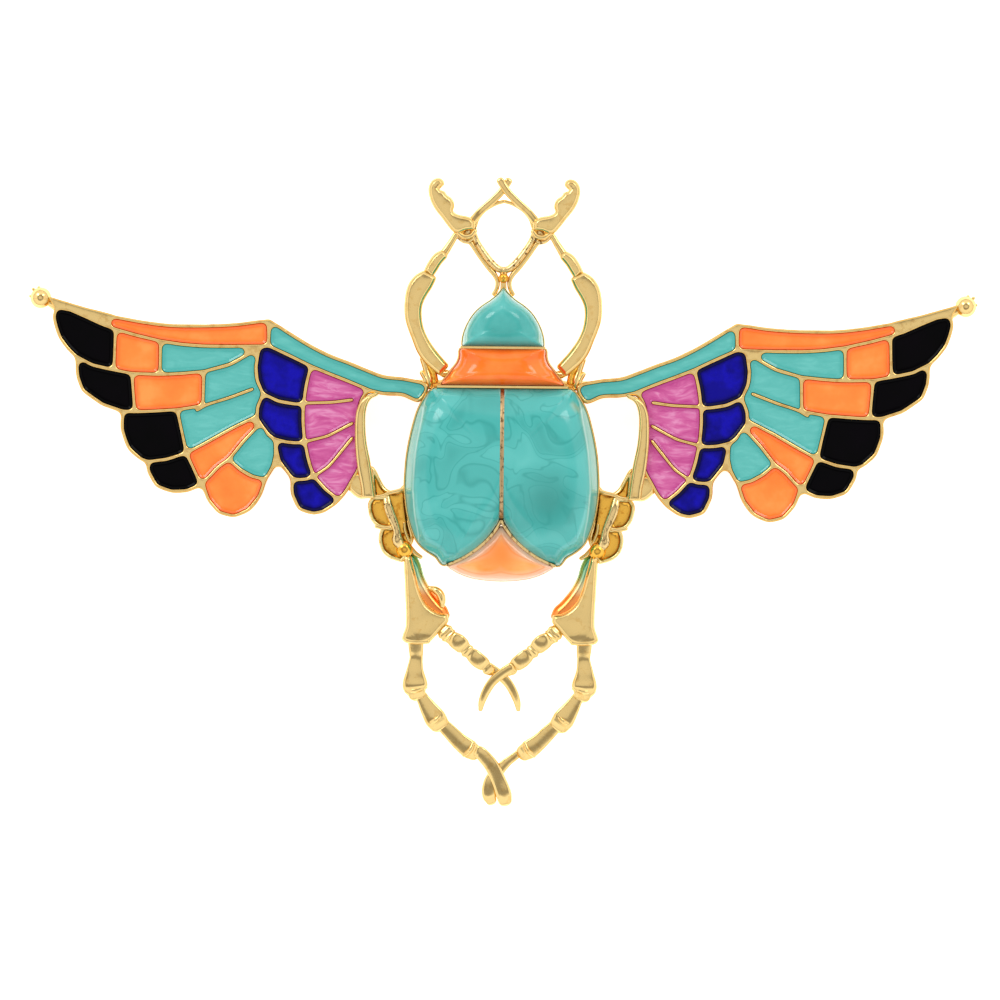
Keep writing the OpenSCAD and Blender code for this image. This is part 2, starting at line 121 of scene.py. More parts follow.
def inside(points, loops):
    """Which points lie inside an odd number of outlines."""
    x, y = points.T
    odd = np.zeros(len(x), bool)
    for loop in loops:
        for (ax, ay), (bx, by) in zip(loop, np.roll(loop, -1, 0)):
            if ay != by:
                odd ^= ((ay > y) != (by > y)) & (x < (bx - ax) * (y - ay) / (by - ay) + ax)
    return odd


def level_outlines(name, height):
    """Outlines of a CAD node's faces that lie level at a height and look up."""
    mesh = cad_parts[name].data
    mesh.calc_loop_triangles()
    spots = np.empty(len(mesh.vertices) * 3)
    mesh.vertices.foreach_get("co", spots)
    spots = np.round(spots.reshape(-1, 3) / MM, 3)
    faces = np.empty(len(mesh.loop_triangles) * 3, int)
    mesh.loop_triangles.foreach_get("vertices", faces)
    edges = set()
    for a, b, c in spots[faces.reshape(-1, 3)]:
        lies_level = max(abs(p[2] - height) for p in (a, b, c)) < 0.004
        if lies_level and (b[0] - a[0]) * (c[1] - a[1]) - (b[1] - a[1]) * (c[0] - a[0]) > 0:
            a, b, c = (tuple(p[:2]) for p in (a, b, c))
            edges |= {(a, b), (b, c), (c, a)}
    follow = {}
    for a, b in edges:
        if (b, a) not in edges:
            follow.setdefault(a, []).append(b)
    loops = []
    while follow:
        loop, here = [], min(follow)
        while here in follow:
            loop.append(here)
            onward = follow[here].pop()
            if not follow[here]:
                del follow[here]
            here = onward
        if len(loop) > 3:
            loops.append(np.array(loop))
    return loops


# ---- the wing's outer edge, from its cells ----

def filled(loops, corner, shape, step):
    """A raster of what lies inside the outlines."""
    x = corner[0] + step * np.arange(shape[1])
    mask = np.zeros(shape, bool)
    starts = np.vstack(loops)
    ends = np.vstack([np.roll(loop, -1, 0) for loop in loops])
    for row in range(shape[0]):
        y = corner[1] + step * (row + 0.013)
        cut = (starts[:, 1] > y) != (ends[:, 1] > y)
        a, b = starts[cut], ends[cut]
        crossings = np.sort(a[:, 0] + (y - a[:, 1]) * (b[:, 0] - a[:, 0]) / (b[:, 1] - a[:, 1]))
        mask[row] = np.searchsorted(crossings, x) % 2 == 1
    return mask


def spread(mask, reach):
    """The raster grown by a disc of that many steps."""
    out = np.zeros_like(mask)
    rows = mask.shape[0]
    for dy in range(-reach, reach + 1):
        half = int(math.sqrt(reach * reach - dy * dy))
        total = np.cumsum(np.pad(mask, ((0, 0), (half + 1, half))).astype(np.int32), axis=1)
        wide = total[:, 2 * half + 1:] > total[:, :mask.shape[1]]
        low, high = max(0, dy), min(rows, rows + dy)
        out[low:high] |= wide[low - dy:high - dy]
    return out


def blurred(field):
    """The raster with its steps rubbed smooth."""
    for _ in range(5):
        for axis in (0, 1):
            field = (np.roll(field, 1, axis) + field + np.roll(field, -1, axis)) / 3
    return field


def contour(field, corner, step):
    """Closed lines where a raster crosses one half, with its filled side on their left."""
    solid = field > 0.5
    mixed = (solid[:-1, :-1].astype(int) + solid[1:, :-1] + solid[:-1, 1:] + solid[1:, 1:]) % 4 > 0
    spots, follow = {}, {}
    for row, col in zip(*np.nonzero(mixed)):
        ring = [(row, col), (row, col + 1), (row + 1, col + 1), (row + 1, col)]
        marks = []
        for k in range(4):
            a, b = ring[k], ring[(k + 1) % 4]
            if solid[a] != solid[b]:
                key = tuple(sorted((a, b)))
                share = (0.5 - field[a]) / (field[b] - field[a])
                spots[key] = (corner[0] + step * (a[1] + share * (b[1] - a[1])),
                              corner[1] + step * (a[0] + share * (b[0] - a[0])))
                marks.append((key, solid[a]))
        for k, (key, leaving) in enumerate(marks):
            if leaving:
                follow[key] = marks[(k + 1) % len(marks)][0]
    loops = []
    while follow:
        loop, here = [], next(iter(follow))
        while here in follow:
            loop.append(spots[here])
            here = follow.pop(here)
        loops.append(np.array(loop))
    return loops


def wing_edge(cells, faces):
    """The outer edge of a wing plate: its cells and a rim round them, with rounded notches. It is drawn on
    a raster over the right wing, 44 by 30 mm."""
    step = 0.05
    corner, shape = (6.0, -7.0), (600, 880)
    plate = spread(filled(cells, corner, shape, step), int((RIM + NOTCH) / step))
    plate = ~spread(~plate, int(NOTCH / step))
    plate |= ~spread(~filled(faces, corner, shape, step), 2)
    return max(contour(blurred(plate.astype(float)), corner, step), key=area)


# ---- solids from outlines ----

class Metalwork:
    """Points and faces of closed solids, gathered for one piece."""

    def __init__(self):
        self.points, self.faces, self.depth, self.finish = [], [], [], []

    def add(self, points, faces, depth=None, finish=0):
        base = len(self.points)
        self.points += [tuple(p) for p in points]
        self.faces += [[base + k for k in face] for face in faces]
        self.depth += list(depth) if depth is not None else [FAR] * len(points)
        self.finish += [finish] * len(faces)
        return self

    def mirrored(self):
        """The same for the other side of the brooch."""
        other = Metalwork()
        other.add([(-x, y, z) for x, y, z in self.points], [face[::-1] for face in self.faces], self.depth)
        other.finish = list(self.finish)
        return other


def rows_of(loops, depths, grid):
    """Points on the outlines and in rows inside them, their depth from the edge, and the faces between."""
    rim = np.vstack(loops)
    tree = kdtree.KDTree(len(rim))
    for k, p in enumerate(rim):
        tree.insert((p[0], p[1], 0), k)
    tree.balance()
    points, depth = list(rim), [0.0] * len(rim)
    for d in depths[1:]:
        for loop in loops:
            keep = slice(None, None, 1 if d < 0.2 else 2)
            for x, y in (loop + d * inward(loop))[keep]:
                if tree.find((x, y, 0))[2] >= 0.93 * d:
                    points.append((x, y))
                    depth.append(d)
    if grid:
        low, high = rim.min(0), rim.max(0)
        xs, ys = np.meshgrid(np.arange(low[0], high[0], grid), np.arange(low[1], high[1], grid * 0.866))
        xs[1::2] += grid / 2
        spots = np.stack([xs.ravel(), ys.ravel()], 1)
        for x, y in spots[inside(spots, loops)]:
            clear = tree.find((x, y, 0))[2]
            if clear > depths[-1] + 0.4 * grid:
                points.append((x, y))
                depth.append(clear)
    edges, start = [], 0
    for loop in loops:
        count = len(loop)
        edges += [(start + k, start + (k + 1) % count) for k in range(count)]
        start += count
    flat, _, faces, origin, _, _ = geometry.delaunay_2d_cdt([Vector(p) for p in points], edges, [], 0, 1e-6)
    place = {}
    for new, olds in enumerate(origin):
        for old in olds:
            place[old] = new
    flat = np.array([tuple(p) for p in flat])
    back = [min(olds) if olds else 0 for olds in origin]
    depth = [depth[k] for k in back]
    middle = np.array([flat[list(face)].mean(0) for face in faces])
    faces = [list(face) for face, inner in zip(faces, inside(middle, loops)) if inner]
    return flat, depth, faces, place


def cast(work, loops, top, profile, bottoms, grid=0, finish=0, lie=None, foot=0.12):
    """A plate with an eased top edge. profile lists (depth from the edge, drop below the top); the first
    outline runs anticlockwise down to bottoms[0], and each hole clockwise down to its own floor."""
    depths, drops = zip(*profile)
    flat, depth, faces, place = rows_of(loops, depths, grid)
    heights = top - np.interp(depth, depths, drops)
    points = [(x, y, z) for (x, y), z in zip(flat, heights)]
    depth = list(depth)
    start = 0
    for number, (loop, bottom) in enumerate(zip(loops, bottoms)):
        count = len(loop)
        upper = [place[start + k] for k in range(count)]
        start += count
        rings = [(loop, bottom)] if number else [(loop, bottom + foot), (loop + foot * inward(loop), bottom)]
        for ring, z in rings:
            lower = list(range(len(points), len(points) + count))
            points += [(x, y, z) for x, y in ring]
            depth += [0.0] * count
            for k in range(count):
                j = (k + 1) % count
                faces.append([upper[k], lower[k], lower[j], upper[j]])
            upper = lower
        faces.append(upper[::-1])
    if lie:
        points = [(x, y, z + lie(x, y)) for x, y, z in points]
    return work.add(points, faces, depth, finish)


def tube(points, sides):
    """Faces between rings of so many points each, with a flat face over either end."""
    last = len(points) - sides
    walls = [[a + s, a + (s + 1) % sides, a + sides + (s + 1) % sides, a + sides + s]
             for a in range(0, last, sides) for s in range(sides)]
    return walls + [list(range(sides))[::-1], list(range(last, len(points)))]


def level(height, rows):
    """Places of a rod whose middle stays at one height, from rows of (x, y, width)."""
    return [(x, y, width, height) for x, y, width in rows]


def rod(work, places, square=2.0, step=0.14, finish=0, lie=None, tall=1.0):
    """A tapering rod with rounded ends, through places (x, y, width, height of its middle). square gives its
    section (2 round, more flatter); tall is its height as a share of its width."""
    p = np.array(places, float)
    ends = np.vstack([2 * p[0] - p[1], p, 2 * p[-1] - p[-2]])
    line = []
    for i in range(len(p) - 1):
        a, b, c, d = ends[i:i + 4]
        t = np.linspace(0, 1, max(2, int(np.linalg.norm(c[:2] - b[:2]) / step)), endpoint=False)[:, None]
        line.append(0.5 * (2 * b + (c - a) * t + (2 * a - 5 * b + 4 * c - d) * t**2
                           + (3 * b - a - 3 * c + d) * t**3))
    line = np.vstack(line + [p[-1:]])
    along = np.gradient(line[:, :2], axis=0)
    along /= np.linalg.norm(along, axis=1, keepdims=True)
    rings = []
    for k, push in ((0, -1), (len(line) - 1, 1)):
        caps = []
        for turn in (80, 62, 42, 22):
            x, y, width, z = line[k]
            shift = push * 0.42 * width * math.sin(math.radians(turn))
            narrow = width * math.cos(math.radians(turn))
            caps.append((x + along[k, 0] * shift, y + along[k, 1] * shift, narrow, z, *along[k]))
        rings.append(caps)
    spine = rings[0] + [(*row, *way) for row, way in zip(line, along)] + rings[1][::-1]
    sides = 18
    points = []
    for x, y, width, z, ax, ay in spine:
        for s in range(sides):
            turn = 2 * math.pi * (s + 0.5) / sides
            u = math.copysign(abs(math.cos(turn)) ** (2 / square), math.cos(turn)) * width / 2
            v = math.copysign(abs(math.sin(turn)) ** (2 / square), math.sin(turn)) * width / 2 * tall
            points.append((x + ay * u, y - ax * u, z + v))
    if lie:
        points = [(x, y, z + lie(x, y)) for x, y, z in points]
    return work.add(points, [face[::-1] for face in tube(points, sides)], None, finish)


def turned_ball(work, centre, radius, tall=1.0, finish=0):
    """A ball, turned about an upright axis."""
    rows, sides = 18, 28
    points = [(centre[0], centre[1], centre[2] - radius * tall)]
    for r in range(1, rows):
        fall = math.pi * r / rows
        for s in range(sides):
            turn = 2 * math.pi * s / sides
            points.append((centre[0] + radius * math.sin(fall) * math.cos(turn),
                           centre[1] + radius * math.sin(fall) * math.sin(turn),
                           centre[2] - radius * tall * math.cos(fall)))
    points.append((centre[0], centre[1], centre[2] + radius * tall))
    faces = [[0, 1 + (s + 1) % sides, 1 + s] for s in range(sides)]
    for r in range(rows - 2):
        for s in range(sides):
            n = (s + 1) % sides
            a = 1 + r * sides
            faces.append([a + s, a + n, a + sides + n, a + sides + s])
    a = 1 + (rows - 2) * sides
    faces += [[a + s, a + (s + 1) % sides, len(points) - 1] for s in range(sides)]
    return work.add(points, faces, None, finish)


def nested(work, rings, open_side=False, depth=None):
    """A closed solid from rings of equal count, from the middle of its top out over its edge and back to
    the middle of its bottom. The first and last ring are single points. An open side is closed by a wall."""
    points = [p for ring in rings for p in ring]
    starts = np.concatenate([[0], np.cumsum([len(ring) for ring in rings])])
    faces = []
    count = max(len(ring) for ring in rings)
    last = count - 1 if open_side else count
    for a, b, ring, following in zip(starts, starts[1:], rings, rings[1:]):
        for k in range(last):
            j = (k + 1) % count
            if len(ring) == 1:
                faces.append([a, b + j, b + k][::-1])
            elif len(following) == 1:
                faces.append([a + k, a + j, b][::-1])
            else:
                faces.append([a + k, a + j, b + j, b + k][::-1])
    if open_side:
        half = len(rings) // 2
        def end(number, which):
            return int(starts[number] + (which if len(rings[number]) > 1 else 0))
        for which, order in ((0, 1), (count - 1, -1)):
            for r in range(half - 1):
                s = len(rings) - 1 - r
                face = [end(r, which), end(r + 1, which), end(s - 1, which), end(s, which)]
                faces.append(list(dict.fromkeys(face))[::order])
            if half * 2 < len(rings):
                face = [end(half - 1, which), end(half, which), end(half + 1, which)]
                faces.append(face[::order])
    return work.add(points, faces, depth)


def drawn(name, work, materials, nodes, crease=38):
    """One piece of the brooch as a Blender object that rides on the root and stands for CAD nodes."""
    mesh = bpy.data.meshes.new(name)
    mesh.from_pydata([(x * MM, y * MM, z * MM) for x, y, z in work.points], [], work.faces)
    mesh.validate()
    rim = mesh.attributes.new("rim", "FLOAT", "POINT")
    rim.data.foreach_set("value", [math.exp(-max(0.0, d) / EDGE_FADE) if d < FAR else 0.0
                                   for d in work.depth])
    for material in materials:
        mesh.materials.append(material)
    if len(materials) > 1 and len(work.finish) == len(mesh.polygons):
        mesh.polygons.foreach_set("material_index", work.finish)
    mesh.polygons.foreach_set("use_smooth", [True] * len(mesh.polygons))
    mesh.set_sharp_from_angle(angle=math.radians(crease))
    mesh.update()
    piece = bpy.data.objects.new(name, mesh)
    bpy.context.scene.collection.objects.link(piece)
    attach(piece, "root")
    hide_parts(*nodes)
    return piece


# ---- finishes ----

def linear(code):
    """A colour from its sRGB hex code."""
    parts = [int(code[k:k + 2], 16) / 255 for k in (1, 3, 5)]
    return tuple(c / 12.92 if c <= 0.04045 else ((c + 0.055) / 1.055) ** 2.4 for c in parts) + (1.0,)


def step_in(tree, kind, links=None, stops=None, **settings):
    """Adds a node: settings are its own, links give sockets a value or another node's output."""
    node = tree.nodes.new(kind)
    for key, value in settings.items():
        setattr(node, key, value)
    if stops:
        ramp = node.color_ramp
        while len(ramp.elements) < len(stops):
            ramp.elements.new(0.5)
        for element, (place, colour) in zip(ramp.elements, stops):
            element.position = place
            element.color = linear(colour) if isinstance(colour, str) else (colour, colour, colour, 1)
    for key, value in (links or {}).items():
        if isinstance(value, bpy.types.NodeSocket):
            tree.links.new(value, node.inputs[key])
        else:
            node.inputs[key].default_value = value
    return node


def banded(tree, value, stops):
    """The colour of a value along a row of stops."""
    return step_in(tree, "ShaderNodeValToRGB", {"Fac": value}, stops=stops).outputs["Color"]


def rescaled(tree, value, low, high, to_low, to_high, **settings):
    """A value brought from one range into another."""
    ends = {"From Min": low, "From Max": high, "To Min": to_low, "To Max": to_high}
    return step_in(tree, "ShaderNodeMapRange", {"Value": value, **ends}, **settings).outputs["Result"]


def blended(tree, share, under, over, way="MIX"):
    """One colour laid over another by its share."""
    return step_in(tree, "ShaderNodeMix", {"Factor": share, 6: under, 7: over}, data_type="RGBA",
                   blend_type=way).outputs[2]


def edge_mark(tree):
    """One at the edges of a piece, fading towards its middle."""
    return step_in(tree, "ShaderNodeAttribute", attribute_name="rim").outputs["Fac"]


def own_place(tree):
    """Place on the brooch, in metres."""
    return step_in(tree, "ShaderNodeTexCoord").outputs["Object"]


def blank(name):
    """A new material and its empty node tree."""
    material = bpy.data.materials.new(name)
    material.use_nodes = True
    material.node_tree.nodes.clear()
    return material, material.node_tree


def grown_noise(tree, place, per_mm, detail, rough=0.5, warp=0.0, stretch=None):
    """Noise with so many swells a millimetre, in the brooch's own place."""
    if stretch:
        place = step_in(tree, "ShaderNodeMapping", {"Vector": place, "Scale": stretch}).outputs["Vector"]
    return step_in(tree, "ShaderNodeTexNoise", {"Vector": place, "Scale": per_mm / MM, "Detail": detail,
                                                "Roughness": rough, "Distortion": warp}).outputs["Fac"]


def finish_surface(tree, shader):
    """Puts a shader on the material's surface."""
    step_in(tree, "ShaderNodeOutputMaterial", {"Surface": shader.outputs["BSDF"]})


def gold_plate(name, code, rough, pit, dark=None, edge=None, painted_leg_reflection=None):
    """Gold-coloured plating over a cast, tumble-polished zinc alloy: soft mirror with a faint cast skin.
    dark tones its low places; edge colours it by the distance from an edge, as painted shade along the wing
    walls' edges and painted reflections in the leg dishes; the hind leg's ramp paints a reflection of the
    enamels along the hind leg, from 13 to 6 mm below the brooch's middle."""
    material, tree = blank(name)
    place = own_place(tree)
    skin = grown_noise(tree, place, 1.3, 4.0, 0.6)
    grain = grown_noise(tree, place, 7.0, 2.0)
    specks = grown_noise(tree, place, 3.4, 3.0, 0.7, 0.0, (1.0, 0.55, 1.0))
    tone = banded(tree, skin if pit < 0.8 else specks, [(0.36, dark or code), (0.46, code), (0.8, code)])
    # A band by the distance from an edge: painted shade on the wing walls, painted reflections in the leg
    # dishes
    if edge:
        tone = blended(tree, 1.0, tone, banded(tree, edge_mark(tree), edge), "MULTIPLY")
    if painted_leg_reflection:
        # Painted reflection of the enamels beside the hind leg, changing along its length
        split = step_in(tree, "ShaderNodeSeparateXYZ", {"Vector": place})
        tone = banded(tree, rescaled(tree, split.outputs["Y"], -13 * MM, -6 * MM, 0.0, 1.0), painted_leg_reflection)
    gloss = rescaled(tree, grain, 0.3, 0.7, rough * 0.8, rough * 1.3)
    waves = step_in(tree, "ShaderNodeBump", {"Height": skin, "Distance": 0.02 * MM, "Strength": pit})
    pits = step_in(tree, "ShaderNodeBump", {"Height": specks, "Distance": 0.02 * MM, "Strength": pit * 0.5,
                                            "Normal": waves.outputs["Normal"]})
    finish_surface(tree, step_in(tree, "ShaderNodeBsdfPrincipled", {
        "Base Color": tone, "Metallic": 1.0, "Roughness": gloss, "Normal": pits.outputs["Normal"]}))
    return material


def soft_spot(tree, place, middle, reach):
    """One at a place on the brooch, falling to nought at its reach, in millimetres."""
    away = step_in(tree, "ShaderNodeVectorMath", {0: place, 1: tuple(v * MM for v in middle)},
                   operation="DISTANCE").outputs["Value"]
    return rescaled(tree, away, 0.0, reach * MM, 1.0, 0.0, interpolation_type="SMOOTHSTEP")


def enamel(name, stops, edge, pattern, rough=0.07, gloss=0.5, edge_pull=0.85, line=None, spots=(), wide=1.0):
    """Soft enamel, poured into its cell and cured: glassy and pulled up at the walls. edge is the colour laid
    in a band along its edges: painted shade on the cobalt and a painted reflection on the pale flanks of the
    pearl panels.
    line is the colour of a thin line painted where a girdle meets its crown, a painted highlight on the pearl
    panels; spots are (place, reach, colour); wide widens the band at the walls."""
    material, tree = blank(name)
    place = own_place(tree)
    rim = edge_mark(tree)
    # The edge colour in a band along the edges: painted shade on the cobalt, a painted reflection on the
    # pearl panels' flanks
    pull = rescaled(tree, rim, 0.12 / wide, 0.75 / wide, 0.0, edge_pull)
    colour = blended(tree, pull, banded(tree, pattern(tree, place), stops), linear(edge))
    # A thin painted line where the girdle meets the crown: a painted highlight on the pearl panels
    if line:
        ridge = banded(tree, rim, [(0.3, 0.0), (0.36, 0.6), (0.42, 0.0)])
        colour = blended(tree, ridge, colour, linear(line))
    for middle, reach, stain in spots:
        colour = blended(tree, soft_spot(tree, place, middle, reach), colour, linear(stain))
    swell = grown_noise(tree, place, 0.45, 1.0)
    bump = step_in(tree, "ShaderNodeBump", {"Height": swell, "Distance": 0.03 * MM, "Strength": 0.25})
    finish_surface(tree, step_in(tree, "ShaderNodeBsdfPrincipled", {
        "Base Color": colour, "Roughness": rough, "IOR": 1.5, "Specular IOR Level": gloss,
        "Normal": bump.outputs["Normal"]}))
    return material


def even(tree, place):
    """Pigment that settled evenly, with faint clouds."""
    return grown_noise(tree, place, 0.35, 3.0, 0.55)


def drifted(tree, place, per_mm, detail, reach):
    """Places pushed about by a slow noise, as far as reach in millimetres."""
    drift = step_in(tree, "ShaderNodeTexNoise", {"Vector": place, "Scale": per_mm / MM, "Detail": detail})
    push = step_in(tree, "ShaderNodeVectorMath", {0: drift.outputs["Color"], 1: tuple(v * MM for v in reach)},
                   operation="MULTIPLY")
    return step_in(tree, "ShaderNodeVectorMath", {0: place, 1: push.outputs["Vector"]},
                   operation="ADD").outputs["Vector"]


def marbled(tree, place):
    """Pearl pigment that has drifted into folded curls a few millimetres across."""
    return grown_noise(tree, drifted(tree, place, 0.17, 0.6, (9, 9, 3)), 0.3, 1.2, 0.3, 0.6)


def streaked(tree, place):
    """Pearl pigment drawn out in fine streaks across the cell."""
    return grown_noise(tree, drifted(tree, place, 0.2, 1.0, (2, 2, 2)), 1.6, 3.0, 0.6, 0.6, (0.25, 1.0, 1.0))


# Cast zinc alloy, tumbled and plated in pale gold: a warm soft mirror
GOLD = gold_plate("gold_plating", "#ECCB86", 0.12, 0.3, "#E6C078")
# The same plating on the thin walls of the wings, with painted shade darkening it brown along their edges
SHADE_EDGED_WALLS = gold_plate("wing_wall_plating_painted_edge_shade", "#ECCB86", 0.12, 0.45, "#DDB672",
                   [(0.0, "#FFFFFF"), (0.52, "#FFFFFF"), (0.74, "#EBD8AE"), (1.0, "#D9BD88")])
# Plating over a rough casting skin: brown lies in its pits
PITTED = gold_plate("pitted_gold_plating", "#EBCB8C", 0.16, 1.0, "#6E5230")
# Plating in the dishes of the middle legs, painted amber in the dish as a reflection of gold on gold, with a
# painted green reflection of the enamel round it
DISH_REFLECTION_PLATING = gold_plate("dish_plating_painted_reflection", "#FFFFFF", 0.16, 0.6, "#E2CFAE",
                    [(0.0, "#F0B84C"), (0.2, "#E8AE46"), (0.27, "#6E9A63"), (0.34, "#F0D390"),
                     (1.0, "#F0D390")])
# Plating with a painted reflection of the enamels beside it: orange low on the shin, then gold, then green
SKIRTING = gold_plate("gold_plating_painted_enamel_reflection", "#F08A3E", 0.16, 0.3, painted_leg_reflection=[
    (0.0, "#FF8A3C"), (0.38, "#FFA057"), (0.5, "#F4D9A0"), (0.66, "#9CC49A"), (1.0, "#62AE86")])
# The ridge between the wing cases, rubbed dull and dark in its pits
SEAM = gold_plate("pitted_seam_plating", "#BE9F74", 0.4, 1.0, "#5E452C")
# Plated spring steel, drawn as wire
STEEL = gold_plate("pin_plating", "#E4C684", 0.2, 0.4)
# Soft enamel is coloured resin, poured into its cell and baked: a glassy skin over flat colour
BLACK = enamel("black_enamel", [(0.3, "#000000"), (0.7, "#020003")], "#000000", even, 0.05, 0.05)
# Orange with faint clouds, redder towards the walls
ORANGE = enamel("orange_enamel", [(0.3, "#FF7A22"), (0.5, "#FF842C"), (0.7, "#FF9440")], "#FA5E12", even)
# A thicker coat of it on the shield
DEEP_ORANGE = enamel("deep_orange_enamel", [(0.3, "#FF6C12"), (0.5, "#FF7519"), (0.7, "#FF8228")],
                     "#FA5A10", even)
# Orange on the tail, paler at its edge, with a darker line inside that edge and a deeper orange patch in its
# middle
TAIL_ORANGE = enamel("pale_edged_orange_enamel", [(0.3, "#FF9848"), (0.5, "#FFA95C"), (0.7, "#FFB66E")],
                     "#FFD2BC", even, line="#FF7E2C", spots=[((0.0, -6.2, 6.7), 2.6, "#FF8B38")])
# Turquoise with a little pearl, drawn out along the feathers
TURQUOISE = enamel("turquoise_enamel", [(0.3, "#4FAEA6"), (0.5, "#56B3AB"), (0.68, "#60BAB2")],
                   "#38A199", streaked)
# Pearl turquoise on the wing cases: curls of drifted pigment, pale flanks that are a painted reflection, a
# painted highlight line where the girdle meets the crown, and two patches of other colour
PEARL = enamel("pearl_turquoise_enamel",
               [(0.2, "#3B9E97"), (0.4, "#47ACA5"), (0.42, "#399D96"), (0.44, "#49AEA7"), (0.53, "#4CB1AA"),
                (0.55, "#3EA19A"), (0.568, "#50B4AD"), (0.8, "#5ABAB3")],
               "#7CC4B8", marbled, 0.12, 0.5, 0.8, "#C6EAE4",
               [((4.6, -0.8, 8.6), 4.6, "#339089"), ((6.9, 8.4, 7.2), 1.1, "#A79F6A")])
# The same on the head, where the pigment lay still, with pale flanks that are a painted reflection and a
# painted highlight line where the girdle meets the crown
CALM_PEARL = enamel("calm_pearl_enamel", [(0.3, "#3A9C95"), (0.5, "#45A7A0"), (0.7, "#53B2AB")],
                    "#A9D9D0", even, 0.12, 0.5, 0.8, "#D6EFEA")
# Cobalt, nearly black in a wide band at the walls, where it lies in their shade
COBALT = enamel("cobalt_enamel", [(0.36, "#07027A"), (0.5, "#1009A2"), (0.64, "#0A0484")], "#030022",
                even, 0.06, 0.1, 0.9, wide=1.7)
# Pink with much pearl, drawn out in streaks
PINK = enamel("pink_enamel", [(0.34, "#BC4488"), (0.5, "#CB5C98"), (0.66, "#DB88B4")], "#B02A7C",
              streaked, 0.08)


# ---- wings ----

floors = [loop for loop in level_outlines("gold_casting", CELL_FLOOR) if loop[:, 0].mean() > 0]
wing_faces = [eased(loop) for loop in level_outlines("gold_casting", FRONT) if loop[:, 0].mean() > 0]
cells = [turned(eased(loop)) for loop in floors]
edge_of_wing = eased(wing_edge(cells, wing_faces), 0.15, 60, 3)

# Section of a wall's rounded top and of a pool: distance in from its edge, drop below its top
WALL_TOP = [(0, 0.17), (0.04, 0.1), (0.09, 0.045), (0.14, 0.015), (0.19, 0.0)]
POOL_TOP = [(0, -0.13), (0.05, -0.115), (0.11, -0.09), (0.19, -0.053), (0.26, -0.026), (0.35, -0.008),
            (0.6, 0.0)]
TIP_BALL = (46.3, 19.1)


def wing_frame():
    """Cast wing plate with its walls, and the ball at its tip."""
    work = Metalwork()
    loops = [turned(edge_of_wing)] + [turned(cell, False) for cell in cells]
    cast(work, loops, FRONT, WALL_TOP, [BACK] + [CELL_FLOOR] * len(cells))
    x, y = TIP_BALL
    turned_ball(work, (x, y, BACK + 1.05), 1.08)
    rod(work, [(x - 1.7, y - 0.8, 1.3, 4.3), (x - 1.0, y - 0.5, 0.9, 4.35), (x - 0.3, y - 0.1, 0.7, 4.4)])
    for push, up in ((1.0, 0.15), (0.75, 0.85), (0.2, 1.0)):
        rod(work, level(4.6, [(x + reach * push, y + reach * up, width) for reach, width in
                              ((0.7, 0.5), (1.04, 0.34))]), tall=0.9)
    return work


def cell_pool(cell):
    """Enamel in one cell, a little under the top of its walls and drawn up against them."""
    work = Metalwork()
    pool = cell - 0.015 * inward(cell)
    cast(work, [pool], POOL, POOL_TOP, [CELL_FLOOR + 0.02], 0.5, foot=0.03)
    return work


# Finish and slot of the enamel in a cell, by the first word of the cell's name
FINISHES = {"black": (BLACK, "black_enamel"), "orange": (ORANGE, "orange_enamel"),
            "teal": (TURQUOISE, "turquoise_enamel"), "blue": (COBALT, "cobalt_enamel"),
            "pink": (PINK, "pink_enamel")}

plate = wing_frame()
drawn("right_wing_frame", plate, [SHADE_EDGED_WALLS], ["gold_casting"])
drawn("left_wing_frame", plate.mirrored(), [SHADE_EDGED_WALLS], ["gold_casting"])
for node in sorted(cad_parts):
    side, _, cell_name = node.partition("_")
    colour = cell_name.split("_")[0]
    if side != "right" or colour not in FINISHES:
        continue
    low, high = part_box(node)
    middle = np.array([low[0] + high[0], low[1] + high[1]]) / (2 * MM)
    cell = min(cells, key=lambda loop: np.linalg.norm((loop.min(0) + loop.max(0)) / 2 - middle))
    pool = cell_pool(cell)
    material, slot = FINISHES[colour]
    drawn("right_pool_" + cell_name, pool, [material], [node])
    drawn("left_pool_" + cell_name, pool.mirrored(), [material], ["left_" + cell_name])


# ---- body ----

# Outlines of the right half of each enamel panel, in millimetres from the brooch's middle
CASE = [(0.2, 10.4), (6.7, 10.4), (7.15, 10.15), (7.6, 9.6), (8.1, 8.8), (8.45, 8.0), (8.75, 7.0), (9.0, 6.0),
        (9.25, 4.8), (9.45, 3.5), (9.57, 2.0), (9.62, 0.5), (9.55, -0.5), (9.35, -2.0), (8.95, -3.5),
        (8.4, -4.8), (7.8, -5.5), (7.1, -6.0), (6.45, -6.4), (6.1, -6.9), (5.85, -7.2), (5.5, -7.2),
        (5.0, -6.95), (4.0, -6.5), (3.0, -5.9), (2.0, -5.1), (1.2, -4.25), (0.6, -3.4), (0.2, -2.6)]
SHIELD = [(0, 14.4), (4.25, 14.4), (4.27, 13.5), (4.5, 12.9), (5.0, 12.25), (5.55, 11.5), (6.2, 10.75),
          (0, 10.75)]
HEAD = [(0, 20.55), (0.45, 19.95), (1.2, 19.25), (1.95, 18.75), (2.65, 18.15), (3.2, 17.45), (3.7, 16.5),
        (4.0, 15.5), (4.05, 14.58), (0, 14.58)]
TAIL = [(0, -3.25), (0.9, -4.35), (2.0, -5.42), (3.0, -6.18), (4.0, -6.78), (5.35, -7.42), (4.0, -8.15),
        (2.5, -8.6), (0, -8.8)]
CASE_CROWN = (0.2, 3.0)
SHIELD_CROWN = (0, 12.55)
HEAD_CROWN = (0, 16.85)
TAIL_CROWN = (0, -7.0)
# Share of the way from crown to edge
SHARES = [0.0, 0.1, 0.2, 0.32, 0.44, 0.56, 0.66, 0.75, 0.82, 0.87, 0.91, 0.94, 0.96, 0.975, 0.987, 0.996, 1.0]


